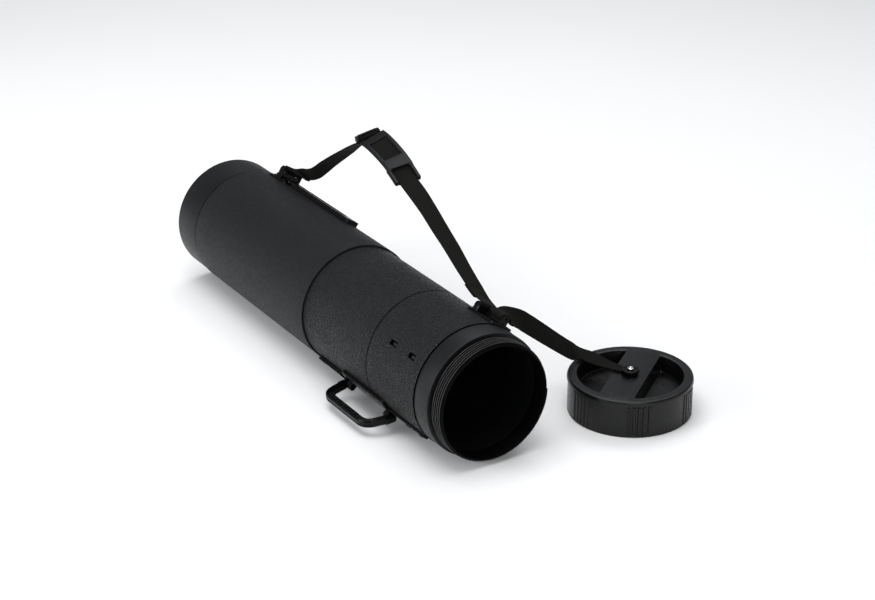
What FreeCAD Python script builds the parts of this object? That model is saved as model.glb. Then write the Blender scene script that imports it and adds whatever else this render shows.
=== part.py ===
import FreeCAD, Part
import math
import os

import Sketcher
from FreeCAD import Placement, Rotation, Vector

# Telescopic drawing tube with a shoulder strap, a carrying handle and a screw lid.
# The tube lies along +X. The origin is the centre of the closed end's flat face, the mouth
# points along +X, +Z is up and the lid lies rim down beside the tube, on its +Y side.
# All sizes are in millimetres. Angles round the tube are measured from +Y towards +Z.

doc = FreeCAD.newDocument("drawing_tube")
sheet = doc.addObject("Spreadsheet::Sheet", "Dims")

DIMENSIONS = [
    # stations along the tube, from the closed end
    ("band_end", 42.0),
    ("rear_end", 276.5),
    ("front_start", 277.2),
    ("sleeve_end", 398.0),
    ("collar_end", 482.5),
    ("shoulder", 505.4),
    ("mouth", 523.4),
    # outer radii
    ("cap_radius", 61.7),
    ("rear_radius", 62.5),
    ("front_radius", 60.8),
    ("band_radius", 60.3),
    ("slide_radius", 58.0),
    ("thread_radius", 57.7),
    ("roll_radius", 54.6),
    # walls and clearances
    ("rear_wall", 2.2),
    ("cap_wall", 1.7),
    ("cap_floor", 2.4),
    ("slide_wall", 1.6),
    ("spigot_length", 16.0),
    ("running_gap", 0.3),
    ("edge_break", 0.5),
    # telescope parts
    ("tail_start", 20.0),
    ("ring_start", 60.0),
    ("ring_length", 12.0),
    ("bush_start", 246.0),
    ("friction_start", 264.0),
    ("friction_length", 5.0),
    # screw thread on the neck
    ("thread_pitch", 3.0),
    ("thread_depth", 0.9),
    # strap rail and its bracket
    ("strap_angle", 56.0),
    ("rail_start", 84.4),
    ("rail_end", 206.0),
    ("rail_height", 4.8),
    ("rail_lip", 2.0),
    ("rail_half_angle", 6.5),
    ("channel_half_angle", 3.7),
    ("channel_start", 92.0),
    ("channel_end", 194.0),
    ("rear_bracket_start", 50.0),
    ("rear_bracket_end", 84.0),
    ("rear_bar_station", 68.0),
    ("rear_bar_lift", 12.5),
    ("riser_start", 54.0),
    ("riser_height", 5.0),
    ("riser_half_angle", 7.0),
    ("saddle_half_angle", 9.6),
    ("rear_saddle_start", 65.0),
    ("rear_saddle_end", 71.0),
    ("front_saddle_start", 448.6),
    ("front_saddle_end", 454.6),
    ("rear_saddle_height", 8.3),
    ("front_saddle_height", 3.4),
    ("tether_saddle_half_angle", 3.4),
    # front bracket
    ("front_bracket_start", 440.0),
    ("front_bracket_end", 482.4),
    ("bracket_base", 1.9),
    ("bracket_half_angle", 11.9),
    ("front_bar_station", 451.6),
    ("front_bar_lift", 7.6),
    ("tether_bar_start", 458.4),
    ("tether_bar_end", 482.4),
    ("bar_radius", 1.8),
    ("ear_gap", 21.6),
    ("ear_thickness", 2.0),
    ("ear_width", 8.0),
    # webbing
    ("web_width", 20.0),
    ("web_thickness", 1.6),
    ("tether_width", 19.0),
    # handle
    ("handle_angle", -136.0),
    ("handle_rail_start", 288.0),
    ("handle_rail_end", 474.0),
    ("handle_rail_height", 2.4),
    ("handle_rail_half_angle", 6.5),
    ("handle_lip_height", 4.3),
    ("handle_lip_end", 331.0),
    ("handle_channel_start", 292.0),
    ("handle_channel_end", 327.0),
    ("plate_start", 342.7),
    ("plate_end", 418.3),
    ("plate_height", 3.4),
    ("plate_half_angle", 17.0),
    ("hinge_radius", 66.9),
    ("handle_middle", 380.5),
    ("handle_root_span", 93.0),
    ("handle_grip_span", 80.0),
    ("handle_reach", 25.8),
    ("handle_depth", 7.6),
    ("handle_thickness", 6.6),
    ("handle_corner", 9.0),
    ("handle_drop", 5.0),
    ("pin_radius", 1.6),
    ("eye_radius", 3.4),
    ("eye_length", 8.4),
    ("handle_ear_length", 7.0),
    # rivets
    ("rivet_radius", 1.6),
    ("rivet_head_radius", 3.2),
    ("rivet_head", 1.1),
    # lid
    ("lid_station", 500.0),
    ("lid_offset", 168.0),
    ("lid_height", 37.0),
    ("lid_radius", 59.9),
    ("lid_top_radius", 59.6),
    ("lid_socket_radius", 58.2),
    ("lid_socket_depth", 18.6),
    ("lid_wall", 1.6),
    ("well_radius", 50.2),
    ("well_floor", 20.2),
    ("grip_bar_width", 34.0),
    ("grip_bar_angle", -52.0),
    ("disc_radius", 8.6),
    ("disc_height", 3.0),
    ("disc_lift", 2.1),
    ("lid_rivet_radius", 2.0),
    ("lid_rivet_head_radius", 3.4),
    ("lid_rivet_head", 1.4),
]

for row, (alias, number) in enumerate(DIMENSIONS, start=1):
    sheet.set(f"A{row}", alias)
    sheet.set(f"B{row}", str(number))
    sheet.setAlias(f"B{row}", alias)
doc.recompute()

FULL_TURN = 360.0
AXIS_X = Vector(1, 0, 0)
subparts = []


def size(alias):
    """The number behind a name in the sheet."""
    return float(sheet.get(alias))


def bound(text):
    """An expression on the sheet: every word in it is an alias."""
    words = []
    for word in text.split():
        words.append(f"Dims.{word}" if word[0].isalpha() else word)
    return " ".join(words)


def subpart(obj, label):
    """Name an object as one finished piece."""
    obj.Label = label
    subparts.append(obj)
    return obj


def outward(angle):
    """Unit vector away from the tube's axis at an angle round it."""
    turn = math.radians(angle)
    return Vector(0, math.cos(turn), math.sin(turn))


def sideways(angle):
    """Unit vector round the tube, square to outward()."""
    turn = math.radians(angle)
    return Vector(0, -math.sin(turn), math.cos(turn))


def on_tube(station, radius, angle, along_side=0.0):
    """A point beside the tube: station along it, radius out, and a step round it."""
    return Vector(station, 0, 0) + outward(angle) * radius + sideways(angle) * along_side


# ---------------------------------------------------------------- building blocks

def revolved(name, profile, upright=False):
    """Body turned from a closed outline of (along, out) expressions about X, or Z if upright."""
    body = doc.addObject("PartDesign::Body", name)
    plane = [f for f in body.Origin.OriginFeatures if f.Role == "XZ_Plane"][0]
    sketch = body.newObject("Sketcher::SketchObject", name + "_outline")
    sketch.AttachmentSupport = (plane, [""])
    sketch.MapMode = "FlatFace"
    # rough places first, so that the solver starts near the answer
    rough = [(sheet_value(along), sheet_value(out)) for along, out in profile]
    if upright:
        rough = [(out, along) for along, out in rough]
    corners = [Vector(a, b, 0) for a, b in rough]
    count = len(corners)
    for i in range(count):
        sketch.addGeometry(Part.LineSegment(corners[i], corners[(i + 1) % count]), False)
    for i in range(count):
        sketch.addConstraint(Sketcher.Constraint("Coincident", i, 2, (i + 1) % count, 1))
    for i, (along, out) in enumerate(profile):
        texts = (out, along) if upright else (along, out)
        kinds = ("DistanceX", "DistanceY")
        for kind, text, number in zip(kinds, texts, rough[i]):
            index = sketch.addConstraint(Sketcher.Constraint(kind, -1, 1, i, 1, number))
            sketch.setExpression(f"Constraints[{index}]", bound(text))
    turn = body.newObject("PartDesign::Revolution", name + "_turn")
    turn.Profile = sketch
    turn.ReferenceAxis = (sketch, ["V_Axis" if upright else "H_Axis"])
    turn.Angle = FULL_TURN
    body.Tip = turn
    return body


def sheet_value(text):
    """The number that an expression of aliases and + or - signs gives."""
    total = 0.0
    sign = 1.0
    for word in text.split():
        if word == "+":
            sign = 1.0
        elif word == "-":
            sign = -1.0
        else:
            total += sign * (size(word) if word[0].isalpha() else float(word))
    return total


def cylinder(name, radius, length, place, direction):
    """Round bar with its size bound to the sheet."""
    obj = doc.addObject("Part::Cylinder", name)
    obj.setExpression("Radius", bound(radius))
    obj.setExpression("Height", bound(length))
    obj.Placement = Placement(place, Rotation(Vector(0, 0, 1), direction))
    return obj


def sector(name, start, end, inner, outer, angle, half_angle):
    """Curved strip that lies on the tube, between two radii and two stations."""
    first = size(angle) - size(half_angle)
    turn = Rotation(outward(first), sideways(first), AXIS_X, "ZXY")
    shells = []
    for suffix, radius in (("outer", outer), ("inner", inner)):
        disc = doc.addObject("Part::Cylinder", f"{name}_{suffix}")
        disc.setExpression("Radius", bound(radius))
        disc.setExpression("Height", bound(f"{end} - {start}"))
        if suffix == "outer":
            disc.setExpression("Angle", f"2 * {bound(half_angle)}")
        disc.Placement = Placement(Vector(size(start), 0, 0), turn)
        shells.append(disc)
    return cut(name, shells[0], [shells[1]])


def block(name, width, depth, height, centre, x_dir, z_dir):
    """Rectangular block about its centre: width along x_dir, height along z_dir."""
    obj = doc.addObject("Part::Box", name)
    obj.setExpression("Length", bound(width))
    obj.setExpression("Width", bound(depth))
    obj.setExpression("Height", bound(height))
    y_dir = z_dir.cross(x_dir)
    corner = centre - (x_dir * sheet_value(width) + y_dir * sheet_value(depth)
                       + z_dir * sheet_value(height)) * 0.5
    obj.Placement = Placement(corner, Rotation(x_dir, y_dir, z_dir, "ZXY"))
    return obj


def joined(name, pieces):
    """Fuse of several objects into one solid."""
    obj = doc.addObject("Part::MultiFuse", name)
    obj.Shapes = pieces
    obj.Refine = True
    return obj


def cut(name, base, tools):
    """Base less its tools."""
    obj = doc.addObject("Part::Cut", name)
    obj.Base = base
    if len(tools) == 1:
        obj.Tool = tools[0]
    else:
        group = doc.addObject("Part::Compound", name + "_tools")
        group.Links = tools
        obj.Tool = group
    return obj


def ribbon(label, stations, width, thickness):
    """Strip of webbing through stations of (centre, direction of its width, its facing)."""
    wires = []
    for centre, across, facing in stations:
        side = across.normalize() * (width / 2)
        face = facing - across * facing.dot(across)
        lift = face.normalize() * (thickness / 2)
        corners = [centre + side + lift, centre - side + lift, centre - side - lift,
                   centre + side - lift]
        wires.append(Part.makePolygon(corners + corners[:1]))
    obj = doc.addObject("Part::Feature", label)
    obj.Shape = Part.makeLoft(wires, True, True)
    return obj


def rivets(label, seats, angle, seat_radius, grip):
    """Group of rivets: a domed head outside and a shank through the wall, at (station, side)."""
    shapes = []
    for station, along_side in seats:
        foot = on_tube(station, seat_radius, angle, along_side)
        head = Part.makeCylinder(size("rivet_head_radius"), size("rivet_head"), foot,
                                 outward(angle))
        shank = Part.makeCylinder(size("rivet_radius"), grip, foot, outward(angle) * -1)
        shapes.append(head.fuse(shank).removeSplitter())
    obj = doc.addObject("Part::Feature", label)
    obj.Shape = Part.makeCompound(shapes)
    return subpart(obj, label)


def rivet_holes(name, seats, angle, low, high):
    """Drilling tools for rivets, from radius low to radius high."""
    tools = []
    for number, (station, along_side) in enumerate(seats):
        hole = doc.addObject("Part::Cylinder", f"{name}_{number}")
        hole.setExpression("Radius", bound("rivet_radius + 0.1"))
        hole.Height = high - low
        hole.Placement = Placement(on_tube(station, low, angle, along_side),
                                   Rotation(Vector(0, 0, 1), outward(angle)))
        tools.append(hole)
    return tools


# ---------------------------------------------------------------- rear section

STRAP_RAIL_SEATS = [(100.0, 0.0), (128.0, 0.0), (158.0, 0.0), (186.0, 0.0)]
BRACKET_SEATS = [(444.6, -6.5), (444.6, 6.5)]
HANDLE_SEATS = [(298.0, 0.0), (318.0, 0.0), (448.0, 0.0), (470.0, 0.0)]
HOLE_MARGIN = 1.0
EAR_TOP = 0.7


def make_end_cap():
    """Cup with a smooth band, a shallow ring in its face and a spigot for the rear tube."""
    inside = "rear_radius - rear_wall - cap_wall"
    spigot = "rear_radius - rear_wall"
    profile = [
        ("0", "0"), ("0", "51"), ("0.6", "51.6"), ("0.6", "53.4"), ("0", "54"),
        ("0", "cap_radius - 1.2"), ("0.35", "cap_radius - 0.35"), ("1.2", "cap_radius"),
        ("band_end - 0.3", "cap_radius"), ("band_end", "cap_radius - 0.3"),
        ("band_end", spigot), ("band_end + spigot_length", spigot),
        ("band_end + spigot_length", inside), ("cap_floor", inside), ("cap_floor", "0"),
    ]
    return subpart(revolved("end_cap", profile), "end_cap")


def make_rear_tube():
    """Grained tube with a slightly turned-in edge at each end, drilled for the rail."""
    inside = "rear_radius - rear_wall"
    profile = [
        ("band_end + 0.1", inside), ("band_end + 0.1", "rear_radius - edge_break"),
        ("band_end + edge_break", "rear_radius"), ("rear_end - edge_break", "rear_radius"),
        ("rear_end", "rear_radius - edge_break"), ("rear_end", inside),
    ]
    blank = revolved("rear_tube_blank", profile)
    low = size("rear_radius") - size("rear_wall") - HOLE_MARGIN
    holes = rivet_holes("rear_tube_hole", STRAP_RAIL_SEATS, size("strap_angle"), low,
                        size("rear_radius") + HOLE_MARGIN)
    return subpart(cut("rear_tube", blank, holes), "rear_tube")


def make_guide_bush():
    """Long bush glued in the rear tube's mouth, with a groove for the friction ring."""
    outside = "rear_radius - rear_wall"
    inside = "slide_radius + running_gap"
    profile = [
        ("bush_start", inside), ("bush_start", outside), ("rear_end - 0.4", outside),
        ("rear_end - 0.4", inside),
        ("friction_start + friction_length", inside),
        ("friction_start + friction_length", "slide_radius + 1.4"),
        ("friction_start", "slide_radius + 1.4"), ("friction_start", inside),
    ]
    subpart(revolved("guide_bush", profile), "guide_bush")
    ring = [
        ("friction_start", "slide_radius + running_gap"),
        ("friction_start", "slide_radius + 1.4"),
        ("friction_start + friction_length", "slide_radius + 1.4"),
        ("friction_start + friction_length", "slide_radius + running_gap"),
    ]
    subpart(revolved("friction_ring", ring), "friction_ring")


RIVET_RELIEF = 0.1


def make_strap_rail():
    """Raised channel along the rear tube, in line with the strap's rear bracket."""
    top = "rear_radius + rail_height"
    solid = sector("strap_rail_solid", "rail_start", "rail_end", "rear_radius", top,
                   "strap_angle", "rail_half_angle")
    channel = sector("strap_rail_channel", "channel_start", "channel_end",
                     "rear_radius + rail_lip", top + " + 1", "strap_angle",
                     "channel_half_angle")
    angle = size("strap_angle")
    holes = rivet_holes("strap_rail_hole", STRAP_RAIL_SEATS, angle,
                        size("rear_radius") - HOLE_MARGIN,
                        size("rear_radius") + size("rail_lip") + HOLE_MARGIN)
    subpart(cut("strap_rail", solid, [channel] + holes), "strap_rail")
    seat = size("rear_radius") + size("rail_lip") + RIVET_RELIEF
    rivets("strap_rail_rivets", STRAP_RAIL_SEATS, angle, seat,
           size("rail_lip") + size("rear_wall") + RIVET_RELIEF)


def eared_bracket(name, start, end, base_low, base_high, bar_station, bar_radius_out):
    """Curved foot with two ears; the bar lies round the tube between the ears."""
    angle = size("strap_angle")
    foot = sector(name + "_foot", start, end, base_low, base_high, "strap_angle",
                  "bracket_half_angle")
    ears = []
    reach = size("ear_gap") / 2 + size("ear_thickness")
    low = math.sqrt(sheet_value(base_high) ** 2 - reach ** 2) - 1.0
    high = bar_radius_out + size("bar_radius") + EAR_TOP
    for sign in (-1, 1):
        side = sign * (size("ear_gap") + size("ear_thickness")) / 2
        centre = on_tube(bar_station, (low + high) / 2, angle, side)
        ear = block(f"{name}_ear_{'a' if sign < 0 else 'b'}", "ear_width", "ear_thickness",
                    str(high - low), centre, AXIS_X, outward(angle))
        ears.append(ear)
    return [foot] + ears


def bar_across(label, station, radius_out):
    """Bar that runs round the tube through both ears of a bracket."""
    angle = size("strap_angle")
    half = size("ear_gap") / 2 + size("ear_thickness")
    start = on_tube(station, radius_out, angle, -half)
    return cylinder(label, "bar_radius", "ear_gap + ear_thickness + ear_thickness", start,
                    sideways(angle))


def make_rear_bracket():
    """Loop bracket at the rail's end: a thin foot, a riser and two ears, with its bar."""
    bar_out = sheet_value("rear_radius + rear_bar_lift")
    pieces = eared_bracket("rear_bracket", "rear_bracket_start", "rear_bracket_end",
                           "rear_radius", "rear_radius + bracket_base",
                           size("rear_bar_station"), bar_out)
    pieces.append(sector("rear_bracket_riser", "riser_start", "rear_bracket_end",
                         "rear_radius", "rear_radius + riser_height", "strap_angle",
                         "riser_half_angle"))
    pieces.append(sector("rear_bracket_saddle", "rear_saddle_start", "rear_saddle_end",
                         "rear_radius", "rear_radius + rear_saddle_height", "strap_angle",
                         "saddle_half_angle"))
    drill = bar_across("rear_bracket_drill", size("rear_bar_station"), bar_out)
    solid = joined("rear_bracket_solid", pieces)
    subpart(cut("rear_strap_bracket", solid, [drill]), "rear_strap_bracket")
    subpart(bar_across("rear_strap_bar", size("rear_bar_station"), bar_out), "rear_strap_bar")
    return bar_out


# ---------------------------------------------------------------- front section

def make_inner_tube():
    """Sliding tube that runs from deep in the rear tube to the neck, and its stop ring."""
    inside = "slide_radius - slide_wall"
    profile = [
        ("tail_start", inside), ("tail_start", "slide_radius"),
        ("collar_end", "slide_radius"), ("collar_end", inside),
    ]
    blank = revolved("inner_tube_blank", profile)
    low = size("slide_radius") - size("slide_wall") - HOLE_MARGIN
    high = size("slide_radius") + HOLE_MARGIN
    holes = rivet_holes("inner_tube_hole", HANDLE_SEATS, size("handle_angle"), low, high)
    holes += rivet_holes("inner_tube_drill", BRACKET_SEATS, size("strap_angle"), low, high)
    subpart(cut("inner_tube", blank, holes), "inner_tube")
    ring = [
        ("ring_start", "slide_radius"),
        ("ring_start", "rear_radius - rear_wall - running_gap"),
        ("ring_start + ring_length", "rear_radius - rear_wall - running_gap"),
        ("ring_start + ring_length", "slide_radius"),
    ]
    subpart(revolved("slide_ring", ring), "slide_ring")


def outer_sleeve(name, start, end):
    """Grained sleeve of the front section, glued on the inner tube."""
    profile = [
        (start, "slide_radius"), (start, "front_radius - edge_break"),
        (start + " + edge_break", "front_radius"), (end + " - edge_break", "front_radius"),
        (end, "front_radius - edge_break"), (end, "slide_radius"),
    ]
    return revolved(name, profile)


def window_tools():
    """Two snap windows: a square opening with two slits that run towards the mouth."""
    angle = 145.3
    square = 5.2
    depth = 1.9
    slit_length = 5.4
    slit_width = 1.0
    middle = size("front_radius") - depth / 2 + 0.4
    tools = []
    for number, station in enumerate((425.5, 457.5)):
        centre = on_tube(station + square / 2, middle, angle)
        tools.append(block(f"window_{number}", str(square), str(square), str(depth + 0.8),
                           centre, AXIS_X, outward(angle)))
        for sign in (-1, 1):
            side = sign * (square - slit_width) / 2
            centre = on_tube(station + square + slit_length / 2, middle, angle, side)
            tools.append(block(f"slit_{number}_{'a' if sign < 0 else 'b'}",
                               str(slit_length), str(slit_width), str(depth + 0.8), centre,
                               AXIS_X, outward(angle)))
    return tools


def make_front_sleeves():
    """The two grained sleeves; the front one carries the snap windows."""
    low = size("slide_radius") - HOLE_MARGIN
    high = size("front_radius") + HOLE_MARGIN
    seam = size("sleeve_end")
    handle = size("handle_angle")
    rear = outer_sleeve("front_sleeve_blank", "front_start", "sleeve_end - 0.15")
    holes = rivet_holes("sleeve_hole", [s for s in HANDLE_SEATS if s[0] < seam], handle, low,
                        high)
    subpart(cut("front_sleeve", rear, holes), "front_sleeve")
    front = outer_sleeve("latch_collar_blank", "sleeve_end + 0.15", "collar_end - 0.1")
    holes = rivet_holes("collar_hole", [s for s in HANDLE_SEATS if s[0] > seam], handle, low,
                        high)
    holes += rivet_holes("collar_drill", BRACKET_SEATS, size("strap_angle"), low, high)
    subpart(cut("latch_collar", front, holes + window_tools()), "latch_collar")


def make_neck():
    """Smooth band, screw thread as ridges a pitch apart, mouth rim and the spigot inside."""
    spigot = "slide_radius - slide_wall"
    root = "thread_radius - thread_depth"
    profile = [
        ("collar_end - 22", "roll_radius"), ("collar_end - 22", spigot),
        ("collar_end + 0.1", spigot), ("collar_end + 0.1", "band_radius - edge_break"),
        ("collar_end + edge_break", "band_radius"), ("shoulder - 1", "band_radius"),
        ("shoulder", "band_radius - 1"), ("shoulder", root),
    ]
    first = sheet_value("shoulder + 1.6")
    turns = 5
    pitch = size("thread_pitch")
    for turn in range(turns):
        foot = first + turn * pitch - size("shoulder")
        profile += [
            (f"shoulder + {foot:.2f}", root), (f"shoulder + {foot + 0.7:.2f}", "thread_radius"),
            (f"shoulder + {foot + 1.3:.2f}", "thread_radius"),
            (f"shoulder + {foot + 2.0:.2f}", root),
        ]
    profile += [
        ("mouth - 0.6", root), ("mouth", root + " - 0.6"), ("mouth", "roll_radius + 0.4"),
        ("mouth - 0.4", "roll_radius"),
    ]
    subpart(revolved("threaded_neck", profile), "threaded_neck")


def make_handle_mounting():
    """Rail along the front section, the plate over its middle with two ears, and the rivets."""
    angle = size("handle_angle")
    rail_top = "front_radius + handle_rail_height"
    strip = sector("handle_rail_strip", "handle_rail_start", "handle_rail_end",
                   "front_radius", rail_top, "handle_angle", "handle_rail_half_angle")
    lip_top = "front_radius + handle_lip_height"
    lip = sector("handle_rail_lip", "handle_rail_start", "handle_lip_end", "front_radius",
                 lip_top, "handle_angle", "handle_rail_half_angle")
    channel = sector("handle_rail_channel", "handle_channel_start", "handle_channel_end",
                     rail_top, lip_top + " + 1", "handle_angle", "channel_half_angle")
    rail = joined("handle_rail_solid", [strip, cut("handle_rail_lips", lip, [channel])])
    holes = rivet_holes("handle_rail_hole", HANDLE_SEATS, angle,
                        size("front_radius") - HOLE_MARGIN, sheet_value(rail_top) + HOLE_MARGIN)
    subpart(cut("handle_rail", rail, holes), "handle_rail")
    rivets("handle_rivets", HANDLE_SEATS, angle, sheet_value(rail_top),
           sheet_value(rail_top) - sheet_value("slide_radius - slide_wall"))

    plate_top = sheet_value("front_radius + plate_height")
    plate = sector("handle_plate_arc", "plate_start", "plate_end", "front_radius",
                   "front_radius + plate_height", "handle_angle", "plate_half_angle")
    under = sector("handle_plate_under", "plate_start", "plate_end", "front_radius", rail_top,
                   "handle_angle", "handle_rail_half_angle")
    trimmed = cut("handle_plate_trimmed", plate, [under])
    ears = []
    hinge = size("hinge_radius")
    for sign in (-1, 1):
        root = sign * size("handle_root_span") / 2
        inner = root - sign * (size("eye_length") + size("running_gap"))
        centre_x = size("handle_middle") + inner - sign * size("handle_ear_length") / 2
        letter = "a" if sign < 0 else "b"
        start = on_tube(centre_x - size("handle_ear_length") / 2, hinge, angle)
        boss = cylinder(f"handle_boss_{letter}", "eye_radius", "handle_ear_length", start, AXIS_X)
        foot_low = plate_top - 0.7
        foot = block(f"handle_ear_foot_{letter}", "handle_ear_length", "eye_radius + eye_radius",
                     str(hinge - foot_low), on_tube(centre_x, (foot_low + hinge) / 2, angle),
                     AXIS_X, outward(angle))
        ears += [boss, foot]
    solid = joined("handle_plate_solid", [trimmed] + ears)
    subpart(cut("handle_plate", solid, handle_pins("handle_pin_drill")), "handle_plate")
    made = doc.addObject("Part::Compound", "handle_pins")
    made.Links = handle_pins("handle_pin")
    subpart(made, "handle_pins")


def handle_pins(name):
    """The two hinge pins, each through one ear of the plate and one eye of the handle."""
    pins = []
    length = size("eye_length") + size("handle_ear_length") + size("running_gap")
    for sign in (-1, 1):
        outer = size("handle_middle") + sign * size("handle_root_span") / 2
        start = outer if sign < 0 else outer - length
        place = on_tube(start, size("hinge_radius"), size("handle_angle"))
        pins.append(cylinder(f"{name}_{'a' if sign < 0 else 'b'}", "pin_radius",
                             "eye_length + handle_ear_length + running_gap", place, AXIS_X))
    return pins


def make_handle():
    """Bail: two arms that lean together, rounded corners and a straight grip."""
    hinge = on_tube(size("handle_middle"), size("hinge_radius"), size("handle_angle"))
    drop = math.radians(180.0 + size("handle_drop"))
    reach_dir = Vector(0, math.cos(drop), math.sin(drop))
    face_dir = AXIS_X.cross(reach_dir)
    root = (size("handle_root_span") - size("eye_length")) / 2
    grip = (size("handle_grip_span") - size("handle_depth")) / 2
    reach = size("handle_reach")
    corner = size("handle_corner")

    def at(along, out):
        return hinge + AXIS_X * along + reach_dir * out

    start = size("eye_radius") + 2.2
    arm = Vector(root - grip, reach, 0)
    lean = arm.normalize()
    foot = Vector(-root, 0, 0) + lean * start
    turn = math.pi / 2 + math.asin(lean.x)
    tangent = corner * math.tan((math.pi - turn) / 2 + (turn - math.pi / 2))
    low = Vector(-grip, reach, 0) - lean * tangent
    high = Vector(-grip + tangent, reach, 0)
    middle_dir = (Vector(1, 0, 0) - lean).normalize()
    centre_gap = corner / math.cos(math.acos(max(-1, min(1, lean.x))) / 2)
    centre = Vector(-grip, reach, 0) + middle_dir * centre_gap
    middle = centre - middle_dir * corner
    points = [foot, low, middle, high]
    left = [at(p.x, p.y) for p in points]
    right = [at(-p.x, p.y) for p in points]
    edges = [
        Part.makeLine(left[0], left[1]), Part.Arc(left[1], left[2], left[3]).toShape(),
        Part.makeLine(left[3], right[3]), Part.Arc(right[3], right[2], right[1]).toShape(),
        Part.makeLine(right[1], right[0]),
    ]
    spine = Part.Wire(edges)
    lean_dir = (left[1] - left[0]).normalize()
    across = lean_dir.cross(face_dir).normalize()
    half_depth = size("handle_depth") / 2
    half_thick = size("handle_thickness") / 2
    bevel = 1.6
    outline = [(-half_depth, -half_thick + bevel), (-half_depth + bevel, -half_thick),
               (half_depth - bevel, -half_thick), (half_depth, -half_thick + bevel),
               (half_depth, half_thick - bevel), (half_depth - bevel, half_thick),
               (-half_depth + bevel, half_thick), (-half_depth, half_thick - bevel)]
    corners = [left[0] + across * a + face_dir * b for a, b in outline]
    section = Part.makePolygon(corners + corners[:1])
    bail = spine.makePipeShell([section], True, True)
    for sign in (-1, 1):
        outer = sign * size("handle_root_span") / 2
        low_x = outer if sign < 0 else outer - size("eye_length")
        eye = Part.makeCylinder(size("eye_radius"), size("eye_length"), at(low_x, 0), AXIS_X)
        neck_length = start + 1.5
        neck = Part.makeBox(size("eye_length"), neck_length, size("handle_thickness"))
        neck.Placement = Placement(at(low_x, 0) - face_dir * half_thick,
                                   Rotation(AXIS_X, reach_dir, face_dir, "ZXY"))
        bail = bail.fuse([eye, neck])
    for sign in (-1, 1):
        outer = sign * size("handle_root_span") / 2
        low_x = (outer if sign < 0 else outer - size("eye_length")) - 1.0
        hole = Part.makeCylinder(size("pin_radius") + size("running_gap"),
                                 size("eye_length") + 2.0, at(low_x, 0), AXIS_X)
        bail = bail.cut(hole)
    obj = doc.addObject("Part::Feature", "carry_handle")
    obj.Shape = bail.removeSplitter()
    return subpart(obj, "carry_handle")


def make_front_bracket():
    """Bracket on the collar: a cross bar for the strap and a side bar for the tether."""
    angle = size("strap_angle")
    base_high = "front_radius + bracket_base"
    bar_out = size("front_radius") + size("front_bar_lift")
    pieces = eared_bracket("front_bracket", "front_bracket_start", "front_bracket_end",
                           "front_radius", base_high, size("front_bar_station"), bar_out)
    low = sheet_value(base_high) - 1.0
    high = bar_out + size("bar_radius") + EAR_TOP
    ends = [size("tether_bar_start"), size("tether_bar_end") - size("ear_thickness")]
    for number, station in enumerate(ends):
        centre = on_tube(station + size("ear_thickness") / 2, (low + high) / 2, angle)
        pieces.append(block(f"tether_ear_{number}", "ear_thickness", "ear_width",
                            str(high - low), centre, AXIS_X, outward(angle)))
    saddle_top = "front_radius + front_saddle_height"
    pieces.append(sector("front_bracket_saddle", "front_saddle_start", "front_saddle_end",
                         "front_radius", saddle_top, "strap_angle", "saddle_half_angle"))
    pieces.append(sector("tether_saddle", "tether_bar_start", "tether_bar_end",
                         "front_radius", saddle_top, "strap_angle",
                         "tether_saddle_half_angle"))
    solid = joined("front_bracket_solid", pieces)
    start = on_tube(size("tether_bar_start"), bar_out, angle)
    length = "tether_bar_end - tether_bar_start"
    drills = [bar_across("front_bracket_drill", size("front_bar_station"), bar_out),
              cylinder("tether_bar_drill", "bar_radius", length, start, AXIS_X)]
    drills += rivet_holes("bracket_hole", BRACKET_SEATS, angle,
                          size("front_radius") - HOLE_MARGIN, sheet_value(base_high) + HOLE_MARGIN)
    subpart(cut("front_strap_bracket", solid, drills), "front_strap_bracket")
    subpart(bar_across("front_strap_bar", size("front_bar_station"), bar_out), "front_strap_bar")
    subpart(cylinder("tether_bar", "bar_radius", length, start, AXIS_X), "tether_bar")
    seat = sheet_value(base_high)
    rivets("bracket_rivets", BRACKET_SEATS, angle, seat,
           seat - sheet_value("slide_radius - slide_wall"))
    return bar_out


# ---------------------------------------------------------------- straps

# Each run is a list of (point on the middle line, direction of the webbing's width).
REAR_RUN = [
    ((86.0, 42.6, 65.6), (0.13, 0.72, -0.68)), ((99.0, 43.9, 69.3), (0.15, 0.66, -0.74)),
    ((109.5, 45.5, 73.4), (0.14, 0.78, -0.60)), ((118.0, 48.0, 79.2), (0.06, 0.90, -0.44)),
    ((129.5, 52.4, 89.6), (0.00, 0.92, -0.38)), ((142.0, 56.4, 99.6), (-0.05, 0.95, -0.32)),
    ((154.0, 60.4, 109.0), (-0.04, 0.97, -0.18)), ((164.0, 64.2, 117.4), (0.04, 0.98, 0.06)),
    ((170.4, 67.3, 121.8), (0.10, 0.96, 0.18)),
]
PAD_RUN = [
    ((188.5, 70.6, 133.2), (0.13, 0.92, 0.37)), ((200.0, 70.1, 132.6), (0.14, 0.92, 0.36)),
    ((213.0, 69.3, 130.8), (0.14, 0.93, 0.34)), ((226.0, 68.3, 128.5), (0.15, 0.94, 0.30)),
    ((240.0, 67.1, 125.3), (0.15, 0.96, 0.24)), ((256.0, 65.2, 121.0), (0.15, 0.97, 0.17)),
    ((271.0, 63.3, 116.3), (0.15, 0.98, 0.13)),
]
FRONT_RUN = [
    ((291.3, 60.8, 110.1), (0.16, 0.98, 0.11)), ((319.6, 57.2, 101.5), (0.11, 0.99, -0.07)),
    ((345.7, 53.5, 92.5), (0.09, 0.98, -0.15)), ((371.9, 49.9, 83.8), (0.06, 0.97, -0.24)),
    ((395.5, 46.3, 75.1), (0.03, 0.95, -0.32)), ((420.0, 42.9, 66.8), (0.01, 0.92, -0.38)),
    ((438.0, 40.8, 61.2), (0.00, 0.87, -0.48)),
]
PAD_WIDTH = 28.0
PAD_THICKNESS = 3.2
PAD_RAIL = 4.0
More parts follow.
